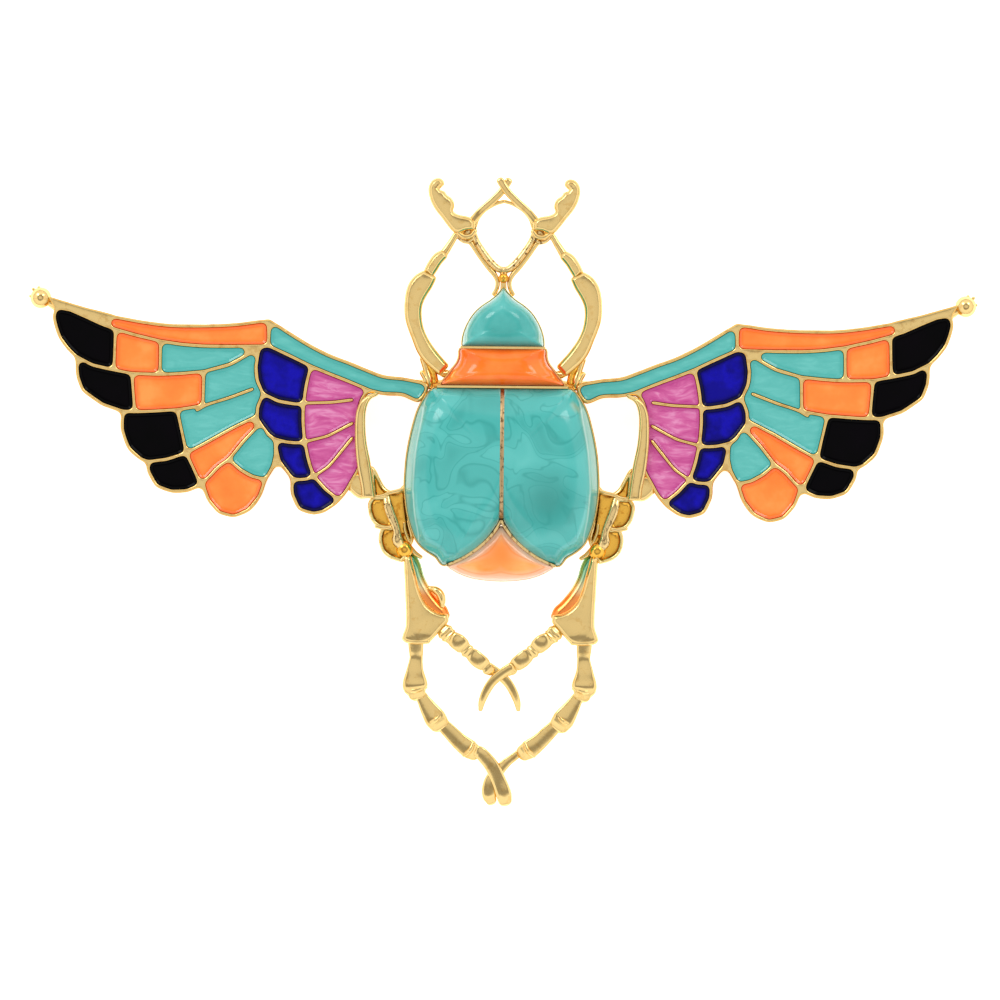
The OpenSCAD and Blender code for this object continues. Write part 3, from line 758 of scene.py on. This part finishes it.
def case_swell(t, side=0.0):
    """Height of a wing case: a broad crown, with a steep girdle towards its outer side."""
    girdle = np.interp(t, [0, 0.3, 0.6, 0.75, 0.84, 0.885, 0.91, 0.94, 0.97, 0.99, 1.0],
                       [1, 0.985, 0.93, 0.87, 0.81, 0.745, 0.65, 0.45, 0.24, 0.1, 0.0])
    return side * girdle + (1 - side) * (1 - t**2.4) ** 0.5


def cushion_swell(t, side=0.0):
    """Height of a small domed panel, a little fuller at its sides."""
    return (1 - t**3.0) ** (0.5 - 0.12 * side)


def whole(half):
    """Both halves of an outline that starts and ends on the middle line, clockwise."""
    half = [tuple(p) for p in half]
    return np.array(half + [(-x, y) for x, y in half[::-1] if x > 0.001])


def ramp(value, start, end):
    """Nought at the start, one at the end, straight between."""
    return min(1.0, max(0.0, (value - start) / (end - start)))


def case_join(x, y):
    """How high over the plate a wing case ends where it meets the shield and the tail."""
    return 1.3 * ramp(y, 9.7, 10.3) + 0.9 * ramp(x, 5.5, 4.8) * ramp(y, 0.0, -1.0)


def shield_join(x, y):
    """The same for the shield, at the head and at the wing cases."""
    return 1.3 * max(ramp(y, 13.7, 14.3), ramp(y, 11.4, 10.85))


def head_join(x, y):
    """The same for the head, at the shield."""
    return 1.2 * ramp(y, 15.2, 14.65)


def tail_join(x, y):
    """The same for the tail, at the wing cases."""
    return 0.9 * ramp(y, -7.9, -7.4)


def domed(outline, crown, swell, rise, join, pale=1.2, band=0.8, open_side=False, round_off=0.0):
    """A domed shell of enamel over an outline. join lifts the edges that meet a neighbour; pale keeps the
    enamel's edge colour, a painted reflection on the pearl panels, on its flanks and off its other edges; the
    smaller band is, the wider the coloured flank; round_off lets the corners of its outline fade towards the
    crown."""
    crown = np.array(crown)
    arms = np.asarray(outline) - crown
    span = np.linalg.norm(arms, axis=1)
    circle = arms / span[:, None] * min(span.mean(), 1.5 * span.min())
    sideways = np.abs(arms[:, 0] / span) ** 1.5
    flank = np.abs(inward(np.asarray(outline))[:, 0]) ** 2
    lifts = [join(x, y) / rise for x, y in outline]
    top, depth = [], []
    for t in SHARES:
        if t:
            fade = round_off * (1 - t)
            spots = crown + t * (arms + fade * (circle - arms))
            top.append([(x, y, FRONT + rise * float(lift + (1 - lift) * swell(t, s)))
                        for (x, y), s, lift in zip(spots, sideways, lifts)])
            depth.append(list((1 - t) * span * band + pale * (1 - flank)))
        else:
            top.append([(*crown, FRONT + rise)])
            depth.append([FAR])
    bottom = [[(x, y, z - COAT) for x, y, z in ring] for ring in top]
    rings = top + bottom[::-1]
    depths = [d for ring in depth + depth[::-1] for d in ring]
    return nested(Metalwork(), rings, open_side, depths)


def seat(work, outline, crown, swell, rise, line, wall=1.0):
    """The hollow gold form under a panel, with the line that shows round it, line and wall mm wide."""
    crown = np.array(crown)
    loop = turned(outline, False)
    # The left side of an outline that runs clockwise is its outside
    out = inward(loop)
    rings = []
    for t in (0.0, 0.3, 0.6, 0.8, 0.92):
        spots = crown + t * (loop - crown) if t else [crown]
        z = FRONT + rise * float(swell(t)) - COAT - 0.05
        rings.append([(x, y, z) for x, y in spots])
    section = [(-0.12, 4.5), (-0.02, 5.08), (0.25 * line, 5.17), (0.6 * line, 5.18), (0.85 * line, 5.14),
               (line, 5.06), (line, 3.5), (line - 0.1, BACK), (-wall, BACK), (-1.1 * wall, 3.6),
               (-1.3 * wall, 4.15)]
    for push, z in section:
        rings.append([(x, y, z) for x, y in loop + push * out])
    for t in (0.6, 0.3, 0.0):
        spots = crown + t * (loop - crown) if t else [crown]
        z = max(4.25, FRONT + rise * float(swell(t)) - COAT - 1.6)
        rings.append([(x, y, z) for x, y in spots])
    return nested(work, rings)


def dense(points, step, corner, closed=True):
    """An outline through measured points, eased between its corners."""
    if closed:
        return eased(points, step, corner, 1)
    loop = eased(np.array(points), step / 2, corner, 0)
    first = np.argmin(np.linalg.norm(loop - np.array(points[0]), axis=1))
    loop = np.roll(loop, -first, 0)
    last = np.argmin(np.linalg.norm(loop - np.array(points[-1]), axis=1))
    loop = loop[:last + 1:2]
    loop[0], loop[-1] = points[0], points[-1]
    return loop


case_line = dense(CASE, 0.24, 30, False)
shield_line = turned(dense(whole(SHIELD), 0.24, 30), False)
head_line = turned(dense(whole(HEAD), 0.22, 50), False)
tail_line = turned(dense(whole(TAIL), 0.22, 30), False)

case = domed(case_line, CASE_CROWN, case_swell, CASE_RISE, case_join, 0.8, 0.35, open_side=True)
drawn("right_wing_case", case, [PEARL], ["right_case_enamel"], 50)
drawn("left_wing_case", case.mirrored(), [PEARL], ["left_case_enamel"], 50)
drawn("neck_shield", domed(shield_line, SHIELD_CROWN, cushion_swell, CUSHION_RISE, shield_join, 0.0),
      [DEEP_ORANGE], ["shield_enamel"], 50)
drawn("head_dome", domed(head_line, HEAD_CROWN, cushion_swell, CUSHION_RISE, head_join, round_off=1.0),
      [CALM_PEARL], ["head_enamel"], 50)
drawn("tail_dome", domed(tail_line, TAIL_CROWN, cushion_swell, TAIL_RISE, tail_join, 0.0, 0.32),
      [TAIL_ORANGE], ["tail_enamel"], 50)

body = Metalwork()
both_cases = turned(dense(whole([(0, 10.4)] + CASE[1:-1] + [(0, -2.9)]), 0.24, 30), False)
seat(body, both_cases, (0, 3.0), case_swell, CASE_RISE, 0.2)
seat(body, shield_line, SHIELD_CROWN, cushion_swell, CUSHION_RISE, 0.24)
seat(body, head_line, HEAD_CROWN, cushion_swell, CUSHION_RISE, 0.14)
seat(body, tail_line, TAIL_CROWN, cushion_swell, TAIL_RISE, 0.06, 0.3)
# Thin raised walls between the panels
TAIL_WALL = [(0.0, -2.75), (0.5, -3.6), (1.1, -4.38), (2.0, -5.27), (3.0, -6.04), (4.0, -6.64), (5.35, -7.25)]
for y, reach in ((10.575, 6.5), (14.49, 4.15)):
    rod(body, level(5.9, [(x * reach, y, 0.32) for x in (-1, -0.5, 0, 0.5, 1)]), square=7.0, tall=5.6)
for side in (-1, 1):
    rod(body, level(5.5, [(side * x, y, 0.34) for x, y in TAIL_WALL]), square=7.0, tall=5.3, finish=1)
drawn("body_shell", body, [GOLD, PITTED], ["gold_casting"])


def seam():
    """The pitted gold ridge between the wing cases."""
    points = []
    half = 0.23
    for y in np.linspace(10.42, -2.75, 90):
        t = min(1.0, (y - 3.0) / 7.4 if y > 3 else (3.0 - y) / 5.6)
        lift = (1.3 if y > 3 else 0.9) / CASE_RISE
        z = FRONT + CASE_RISE * (lift + (1 - lift) * float(case_swell(t)))
        ring = [(-half, y, z - 0.9), (-half, y, z - 0.04), (-0.16, y, z + 0.01), (-0.06, y, z + 0.03),
                (0.06, y, z + 0.03), (0.16, y, z + 0.01), (half, y, z - 0.04), (half, y, z - 0.9)]
        points += [(x, y, min(z, FRONT + CASE_RISE)) for x, y, z in ring]
    return Metalwork().add(points, tube(points, len(ring)))


drawn("case_seam", seam(), [SEAM], ["gold_casting"])


# ---- legs ----

# Sections of cast edges: distance in from the edge, drop below the top. A dish sinks inside its rim
LEG_EDGE = [(0, 0.42), (0.04, 0.27), (0.16, 0.155), (0.27, 0.07), (0.34, 0.02), (0.4, 0.0)]
FINE_EDGE = [(0, 0.25), (0.04, 0.15), (0.11, 0.085), (0.19, 0.03), (0.25, 0.0)]
DISH = [(0, 0.25), (0.04, 0.12), (0.12, 0.03), (0.22, 0.0), (0.3, 0.03), (0.4, 0.18), (0.5, 0.3), (0.8, 0.36)]


def slab(work, outline, top, bottom, profile=LEG_EDGE, grow=0.06, corner=40, grid=0, finish=0, lie=None):
    """A flat cast part with an eased edge, over an outline that is grown a little."""
    loop = turned(eased(outline, 0.12, corner, 1))
    return cast(work, [loop - grow * inward(loop)], top, profile, [bottom], grid, finish, lie)


# Finishes of a leg's parts, by their place in the list; the first is the plain one
LEG_FINISHES = [GOLD, DISH_REFLECTION_PLATING, PITTED, SKIRTING]
DISHED, ROUGH, ENAMEL_REFLECTION = 1, 2, 3

FEMUR = [(8, 22.1), (8.8, 21.6), (9.4, 20.8), (9.7, 19.8), (9.8, 18.5), (9.7, 17.3), (9.4, 16.3), (9, 15.3),
         (8.6, 14.3), (8.2, 13.6), (7.6, 12.9), (6.3, 11.8), (5.5, 12.7), (6.4, 13.7), (7.1, 14.6),
         (7.6, 15.4), (8, 16.3), (8.2, 17.2), (8.25, 18.2), (8.1, 19), (7.7, 19.8), (7.2, 20.6), (6.8, 21.5)]
TIBIA = [(7.9, 22.2), (7.5, 23), (6.9, 23.8), (6.2, 24.2), (5.8, 24), (5.7, 23.6), (6.3, 22.9), (6.8, 22.1),
         (7.2, 21.5)]
CLAW = [(3.0, 26.35), (3.8, 26.25), (4.5, 26.0), (5.0, 26.1), (5.45, 26.55), (6.26, 27.6), (6.75, 28.2),
        (7.16, 28.84), (7.45, 29.6), (7.55, 30.4), (7.3, 31.05), (6.9, 31.35), (6.45, 31.4), (6.15, 31.2),
        (6.05, 30.85), (6.3, 30.6), (6.55, 30.4), (6.35, 30.15), (6.0, 30.1), (5.75, 29.7), (5.35, 29.45),
        (5.1, 29.05), (5.05, 28.6), (5.2, 28.25), (5.0, 27.95), (4.45, 27.72), (3.8, 27.6), (3.25, 27.4),
        (2.95, 27.0)]
KNOT = [(2.75, 26.5), (3.3, 26.7), (4.2, 26.6), (4.75, 26.3), (4.75, 25.7), (4.25, 25.1), (3.5, 24.9),
        (2.9, 25.4)]
# Rows of a rod: x, y, width
PALM = [(6.0, 23.9, 0.9), (5.35, 24.9, 0.75), (4.85, 25.7, 0.7), (4.2, 26.3, 0.9)]
SHOULDER = [(7.95, 13.4, 0.8), (7.65, 12.3, 0.7), (7.35, 11.3, 0.9), (7.3, 10.6, 0.7)]


def foreleg(over):
    """Bent foreleg with its claw and long toe; over says which toe lies on top where they cross."""
    work = Metalwork()
    slab(work, FEMUR, LEG_TOP, BACK, grow=0.12)
    slab(work, TIBIA, LEG_TOP - 0.1, BACK, grow=0.1)
    rod(work, level(4.5, PALM), square=2.6, tall=1.1)
    slab(work, KNOT, 4.95, BACK, DISH, grow=0.05, grid=0.3, finish=ROUGH)
    rod(work, [(4.6, 26.0, 0.5, 4.8), (4.0, 25.6, 0.6, 4.9), (3.3, 25.7, 0.55, 4.9), (2.9, 26.2, 0.5, 4.8)],
        tall=1.1)
    slab(work, CLAW, LEG_TOP, BACK + 0.3, grow=0.08)
    # The shoulder joint, with short struts to the wing and the body
    rod(work, level(4.5, SHOULDER), tall=1.2)
    rod(work, level(4.6, [(7.3, 12.7, 0.7), (6.9, 11.9, 0.65), (6.75, 11.1, 0.7)]), tall=1.2, finish=DISHED)
    rod(work, level(4.3, [(6.3, 12.3, 0.8), (5.9, 11.9, 0.8), (5.5, 12.0, 0.6)]), tall=1.2)
    rod(work, [(8.1, 12.0, 0.5, 4.5), (7.7, 11.3, 0.6, 4.6), (7.9, 10.7, 0.5, 4.6)], tall=1.2)
    crossing = 4.6 + (0.22 if over else -0.22)
    rod(work, [(3.25, 27.1, 0.85, 4.6)] + level(crossing, [
        (2.4, 28.15, 0.78), (1.25, 29.2, 0.78), (0.4, 30.05, 0.8), (-0.15, 30.8, 0.78), (-0.42, 31.25, 0.8)]),
        square=3.4, tall=0.9)
    rod(work, [(2.9, 26.7, 0.45, 4.4), (2.6, 27.5, 0.42, 4.4), (1.85, 28.35, 0.4, 4.3),
               (0.85, 28.95, 0.4, 4.3), (0.05, 29.2, 0.4, 4.2)], tall=1.1)
    return work


OUTER_FEELER = [(0.95, 19.9, 0.45), (0.66, 20.5, 0.46), (0.6, 21.2, 0.5), (0.9, 21.85, 0.55),
                (1.5, 22.55, 0.58), (2.35, 23.65, 0.56), (3.1, 24.75, 0.56), (3.65, 25.45, 0.56)]
INNER_FEELER = [(0.0, 22.3, 0.7), (0.5, 22.42, 0.74), (1.15, 22.95, 0.76), (1.95, 23.95, 0.74),
                (2.7, 25.1, 0.7), (3.1, 26.1, 0.7)]


def feelers():
    """The V of two double feelers on its short stalk over the head."""
    work = Metalwork()
    rod(work, [(0, 20.0, 0.7, 4.3), (0, 21.2, 0.6, 4.4), (0, 22.3, 0.9, 4.5)], square=2.4)
    turned_ball(work, (0, 21.5, 4.75), 0.5, 0.8, DISHED)
    for side in (-1, 1):
        rod(work, level(4.35, [(side * x, y, w) for x, y, w in OUTER_FEELER]), square=2.4, tall=1.3)
        rod(work, level(4.5, [(side * x, y, w) for x, y, w in INNER_FEELER]), square=2.2, tall=1.5,
            finish=ROUGH)
    return work


BAR = [(12.4, 9.95), (13.2, 9.7), (14, 9.2), (14.4, 8.5), (14.62, 7.5), (14.64, 5), (14.4, 2.5), (14.0, 0.5),
       (13.9, -0.6), (12.7, -0.6), (12.9, 1), (13.2, 3), (13.6, 5), (13.75, 7.2), (13.6, 8.5), (13.2, 9.3),
       (12.5, 9.7)]
WEB = [(13.4, 1.9), (14.7, 1.9), (15.4, 1.2), (15.3, 0.2), (14.3, -0.6), (13.2, -0.6)]
LOBES = [
    [(12.9, -0.5), (13.3, -1.2), (13.2, -2.2), (12.85, -3.0), (12.2, -3.55), (11.2, -3.65), (10.6, -3.5),
     (11.1, -2.0), (11.35, -0.4)],
    [(11.9, -3.5), (12.2, -4.4), (12.1, -5.4), (11.7, -6.15), (11, -6.65), (9.9, -7.0), (9.4, -6.4),
     (9.9, -5.0), (10.4, -3.5)],
    [(12.85, -0.6), (13.0, 1.0), (13.1, 2.6), (12.75, 2.3), (12.2, 1.3), (11.7, 0.45), (11.1, 0.08),
     (10.2, 0.18), (9.9, 0.6), (9.5, 0.9), (9.4, -1.0), (9.1, -3.2), (8.8, -4.6), (9.1, -5.6),
     (9.8, -5.2), (10.4, -4.2), (11.2, -2.0), (11.6, -0.7)],
]
# Rows of a rod with the height of its middle: x, y, width, height
RIDGE = [(11.5, -0.55, 0.8, 4.9), (11.35, -1.3, 0.95, 5.05), (11.1, -2.1, 1.0, 5.05),
         (10.6, -3.3, 0.85, 5.05), (10.4, -4.0, 0.8, 5.0), (10.35, -4.8, 1.15, 4.95), (9.95, -5.5, 0.9, 4.8)]
LEDGES = [
    [(13.0, -0.5, 0.4, 4.9), (12.0, -0.4, 0.4, 5.0), (11.2, -0.1, 0.4, 5.0), (10.4, 0.1, 0.4, 4.9),
     (9.8, 0.3, 0.4, 4.8)],
    [(12.5, -3.45, 0.4, 5.0), (11.8, -3.6, 0.42, 5.1), (11.1, -3.5, 0.4, 5.1)],
    [(9.7, -3.1, 0.3, 4.8), (9.6, -3.9, 0.3, 4.8), (9.2, -4.9, 0.3, 4.8)],
    [(9.1, -5.5, 0.5, 4.6), (8.6, -6.1, 0.5, 4.5), (8.0, -6.5, 0.4, 4.4)],
]


def middle_leg():
    """Bent bar on two dished plates with their ridge, ledges and knob."""
    work = Metalwork()
    slab(work, BAR, 5.75, BACK + 0.5, FINE_EDGE)
    slab(work, WEB, 5.15, BACK + 0.3)
    for lobe, top in zip(LOBES, (5.25, 5.15, 4.85)):
        slab(work, lobe, top, BACK, DISH, grid=0.3, finish=DISHED)
    rod(work, RIDGE, square=2.6, tall=0.8, finish=ROUGH)
    for ledge in LEDGES:
        rod(work, ledge, tall=1.1)
    turned_ball(work, (9.65, -5.75, 4.75), 0.85, 0.7, DISHED)
    return work


# The hind legs slope down from their shins to the table: where a leg starts, its length, and the shares of
# the length at which it touches the table and over which it falls
HIP = -5.7
HIND_LENGTH = 26.1
TOUCHDOWN = 0.983
FALL = 0.65


def sinking(x, y):
    """How far a place on a hind leg lies under the level of the plate."""
    share = (HIP - y) / HIND_LENGTH
    return -BACK * (1 - min(1.0, max(0.0, (TOUCHDOWN - share) / FALL)))


SHIN = [(9.7, -6.4), (9.6, -8), (9.5, -10), (9.4, -13.3), (9.7, -14.3), (9.8, -14.7), (9.5, -15),
        (8.8, -15.15), (7.3, -15.1), (6.9, -14.8), (6.2, -14), (5.6, -13.3), (5.2, -12.9), (5.3, -12.2),
        (6.1, -12.1), (7, -11.6), (7.7, -10.8), (8.2, -9.6), (8.5, -8.4), (8.8, -7.3), (9, -6.4)]
SKIRT = [(9.6, -6.2), (9.5, -8), (9.4, -10), (9.3, -13.3), (9.2, -14.6), (8, -14.8), (7, -14.4), (5.4, -12.9),
         (5.1, -12.3), (5.45, -11.5), (6.05, -10.95), (6.8, -10.05), (7.3, -9.3), (7.75, -8.4), (8.1, -7.2),
         (8.6, -6.2)]
SKIRT_EDGE = [(0, 0.5), (0.15, 0.3), (0.4, 0.1), (0.7, 0.0)]
SPUR = [(5.75, -13.7, 1.2), (5.5, -13.95, 1.5), (5.25, -14.2, 1.35), (5.12, -14.35, 1.5), (4.98, -14.5, 1.15),
        (4.7, -14.65, 1.35), (4.2, -14.98, 1.5), (3.7, -15.4, 1.4), (3.45, -15.62, 1.1), (3.25, -15.85, 1.3),
        (3.02, -16.05, 1.1), (2.7, -16.3, 1.3), (2.2, -16.75, 1.4), (1.65, -17.15, 1.3), (1.35, -17.4, 1.0),
        (1.15, -17.65, 1.15), (0.9, -17.85, 0.9)]
TALON = [(1.1, -17.5, 0.95), (0.2, -18.1, 0.9), (-0.75, -18.95, 0.85), (-1.35, -19.9, 0.8),
         (-1.75, -20.9, 0.66), (-1.9, -21.75, 0.4)]
SHIN_HOOK = [(7.1, -9.6, 0.5, 4.2), (6.6, -9.75, 0.75, 4.4), (6.2, -10.0, 0.85, 4.45),
             (5.95, -10.4, 0.85, 4.45), (5.85, -10.9, 0.75, 4.4), (5.85, -11.4, 0.5, 4.3)]
SHOES = [
    [(8.45, -15.0, 1.4), (8.4, -15.9, 1.3), (8.4, -16.7, 1.2), (8.5, -17.8, 1.55), (8.5, -18.9, 2.15),
     (8.45, -19.6, 2.2), (8.3, -20.2, 1.6)],
    [(8.0, -20.2, 1.0), (7.65, -20.8, 1.2), (7.1, -21.7, 1.6), (6.5, -22.6, 1.95), (6.1, -23.15, 1.85)],
    [(5.8, -23.2, 1.2), (5.0, -24.0, 1.35), (4.1, -24.9, 1.5), (3.1, -25.7, 1.7), (2.5, -26.1, 1.5)],
]
TOE_OVER = [(2.1, -26.0, 1.1), (1.74, -26.25, 1.2), (0.75, -27.4, 1.3), (0.0, -28.9, 1.3), (-0.5, -30.2, 1.4),
            (-0.66, -30.95, 1.25)]
TOE_UNDER = [(2.2, -26.0, 0.7), (1.45, -26.6, 0.75), (0.8, -27.1, 0.85), (0.12, -27.8, 1.0),
             (-0.5, -28.5, 1.15), (-0.85, -29.2, 1.25), (-0.98, -30.0, 1.3), (-0.9, -30.6, 1.25),
             (-0.75, -31.0, 1.0)]


def hind_leg(toe_over):
    """Shin with its skirt, the beaded spur and talon inside it, and three shoes down to the toe."""
    work = Metalwork()
    slab(work, SHIN, LEG_TOP, BACK + 0.1, lie=sinking)
    slab(work, SKIRT, LEG_TOP - 0.85, BACK, SKIRT_EDGE, finish=ENAMEL_REFLECTION, lie=sinking)
    rod(work, [(9.35, -14.85, 0.5, 4.9), (8.4, -14.98, 0.5, 4.95), (7.2, -14.92, 0.5, 4.9)], lie=sinking,
        tall=1.4)
    toe, talon = (0.25, -0.2) if toe_over else (-0.2, 0.25)

    def along(row, middle):
        """Places of a segment: the wider it is, the higher it stands."""
        return [(x, y, w * 1.14, middle + 0.1 * (w - 1)) for x, y, w in row]

    rod(work, along(SPUR, 4.3), square=6.0, step=0.1, lie=sinking, tall=0.85)
    rod(work, along(TALON, 4.35 + talon), square=4.0, lie=sinking, tall=0.9)
    for row in SHOES:
        rod(work, along(row, 4.25), square=6.0, step=0.12, lie=sinking, tall=0.7)
        x, y, wide = row[-2]
        ahead = np.array(row[-1][:2]) - np.array(row[-3][:2])
        ahead /= np.linalg.norm(ahead)
        across = np.array([-ahead[1], ahead[0]]) * wide * 0.47
        middle = np.array([x, y]) + ahead * 0.05
        cuff = [(*(middle + across), 0.5, 4.7), (*(middle + 0.2 * ahead), 0.55, 4.95),
                (*(middle - across), 0.5, 4.7)]
        rod(work, cuff, lie=sinking, tall=1.3)
    rod(work, along(TOE_OVER if toe_over else TOE_UNDER, 4.25 + toe), square=5.0, lie=sinking, tall=0.8)
    if toe_over:
        rod(work, SHIN_HOOK, lie=sinking)
    return work


for side, over in (("right", True), ("left", False)):
    pieces = [("foreleg", foreleg(over)), ("middle_leg", middle_leg()), ("hind_leg", hind_leg(not over))]
    for part, work in pieces:
        if side == "left":
            work = work.mirrored()
        drawn(side + "_" + part, work, LEG_FINISHES, ["gold_casting"])
drawn("feelers", feelers(), LEG_FINISHES, ["gold_casting"])


# ---- pin ----

def pin():
    """Hinge lug, catch lug and the wire between them."""
    work = Metalwork()
    y, z, lug = 10.9, 1.36, 15.9
    for side in (-1, 1):
        x = side * lug
        foot = [(x - 1.3, y - 1.7), (x + 1.3, y - 1.7), (x + 1.3, y + 1.7), (x - 1.3, y + 1.7)]
        slab(work, foot, BACK - 0.04, 2.5, FINE_EDGE, corner=30)
        for push in (-1.0, 1.0):
            ear = [(x + push - 0.28, y - 1.5), (x + push + 0.28, y - 1.5), (x + push + 0.28, y + 1.5),
                   (x + push - 0.28, y + 1.5)]
            slab(work, ear, 2.6, 0.0, FINE_EDGE, corner=30)
        rod(work, level(z, [(x - 1.2, y, 1.5), (x, y, 1.5), (x + 1.2, y, 1.5)]), square=2.2)
    rod(work, level(z, [(-lug, y, 0.9), (0, y, 0.9), (lug + 1.3, y, 0.9)]), step=0.8)
    rod(work, level(z, [(lug + 1.3, y, 0.9), (lug + 3.0, y, 0.6), (lug + 4.6, y, 0.25)]))
    return work


drawn("pin_and_catch", pin(), [STEEL], ["brooch_pin"])


# ---- table, light and camera ----

def studio():
    """A pale lit table, a bright tent with a dark ring round the lens, and two soft lamps."""
    card, tree = blank("table_card")
    place = own_place(tree)
    fibre = grown_noise(tree, place, 0.02, 2.0)
    tone = banded(tree, fibre, [(0.3, "#FBFBFB"), (0.7, "#FFFFFF")])
    finish_surface(tree, step_in(tree, "ShaderNodeBsdfPrincipled", {
        "Base Color": tone, "Roughness": 0.9, "Specular IOR Level": 0.1,
        "Emission Color": linear("#FFFFFF"), "Emission Strength": 0.7}))
    half, under = 1.5, -0.02 * MM
    mesh = bpy.data.meshes.new("table")
    mesh.from_pydata([(-half, -half, under), (half, -half, under), (half, half, under), (-half, half, under)],
                     [], [[0, 1, 2, 3]])
    mesh.materials.append(card)
    table = bpy.data.objects.new("table", mesh)
    bpy.context.scene.collection.objects.link(table)

    world = bpy.data.worlds.new("studio_dome")
    world.use_nodes = True
    tree = world.node_tree
    tree.nodes.clear()
    ray = step_in(tree, "ShaderNodeTexCoord").outputs["Generated"]
    split = step_in(tree, "ShaderNodeSeparateXYZ", {"Vector": ray})
    wander = step_in(tree, "ShaderNodeTexNoise", {"Vector": ray, "Scale": 2.2, "Detail": 2.0})
    shift = rescaled(tree, wander.outputs["Fac"], 0.3, 0.7, -0.03, 0.03)
    steep = step_in(tree, "ShaderNodeMath", {0: split.outputs["Z"], 1: shift}, operation="ADD")
    dome = banded(tree, steep.outputs["Value"], [
        (0.0, 0.55), (0.1, 0.8), (0.4, 1.0), (0.78, 1.1), (0.86, 0.36), (0.93, 0.33), (0.965, 0.7),
        (1.0, 0.76)])
    light = step_in(tree, "ShaderNodeBackground", {"Color": dome, "Strength": 1.2})
    pale = step_in(tree, "ShaderNodeBackground", {"Color": (0.93, 0.93, 0.93, 1.0), "Strength": 1.0})
    seen = step_in(tree, "ShaderNodeLightPath").outputs["Is Camera Ray"]
    both = step_in(tree, "ShaderNodeMixShader", {0: seen, 1: light.outputs[0], 2: pale.outputs[0]})
    step_in(tree, "ShaderNodeOutputWorld", {"Surface": both.outputs[0]})
    bpy.context.scene.world = world

    for name, spot, size, power in (("upper_right_lamp", (0.36, 0.42, 0.58), 0.26, 0.6),
                                    ("upper_left_lamp", (-0.4, 0.44, 0.55), 0.3, 1.0)):
        lamp = bpy.data.lights.new(name, "AREA")
        lamp.shape = "DISK"
        lamp.size = size
        lamp.energy = power
        holder = bpy.data.objects.new(name, lamp)
        holder.location = spot
        holder.rotation_euler = (-Vector(spot)).to_track_quat("-Z", "Y").to_euler()
        bpy.context.scene.collection.objects.link(holder)

    # The lens looks straight down on the brooch, which lies turned by a little over half a degree
    lens = bpy.data.cameras.new("camera")
    lens.lens = 200
    lens.sensor_width = 36
    lens.clip_start = 0.01
    eye = bpy.data.objects.new("camera", lens)
    eye.location = (-0.000143, -0.000701, 0.5606)
    eye.rotation_euler = (0, 0, math.radians(0.55))
    bpy.context.scene.collection.objects.link(eye)
    bpy.context.scene.camera = eye
    bpy.context.scene.view_settings.view_transform = "Standard"


studio()
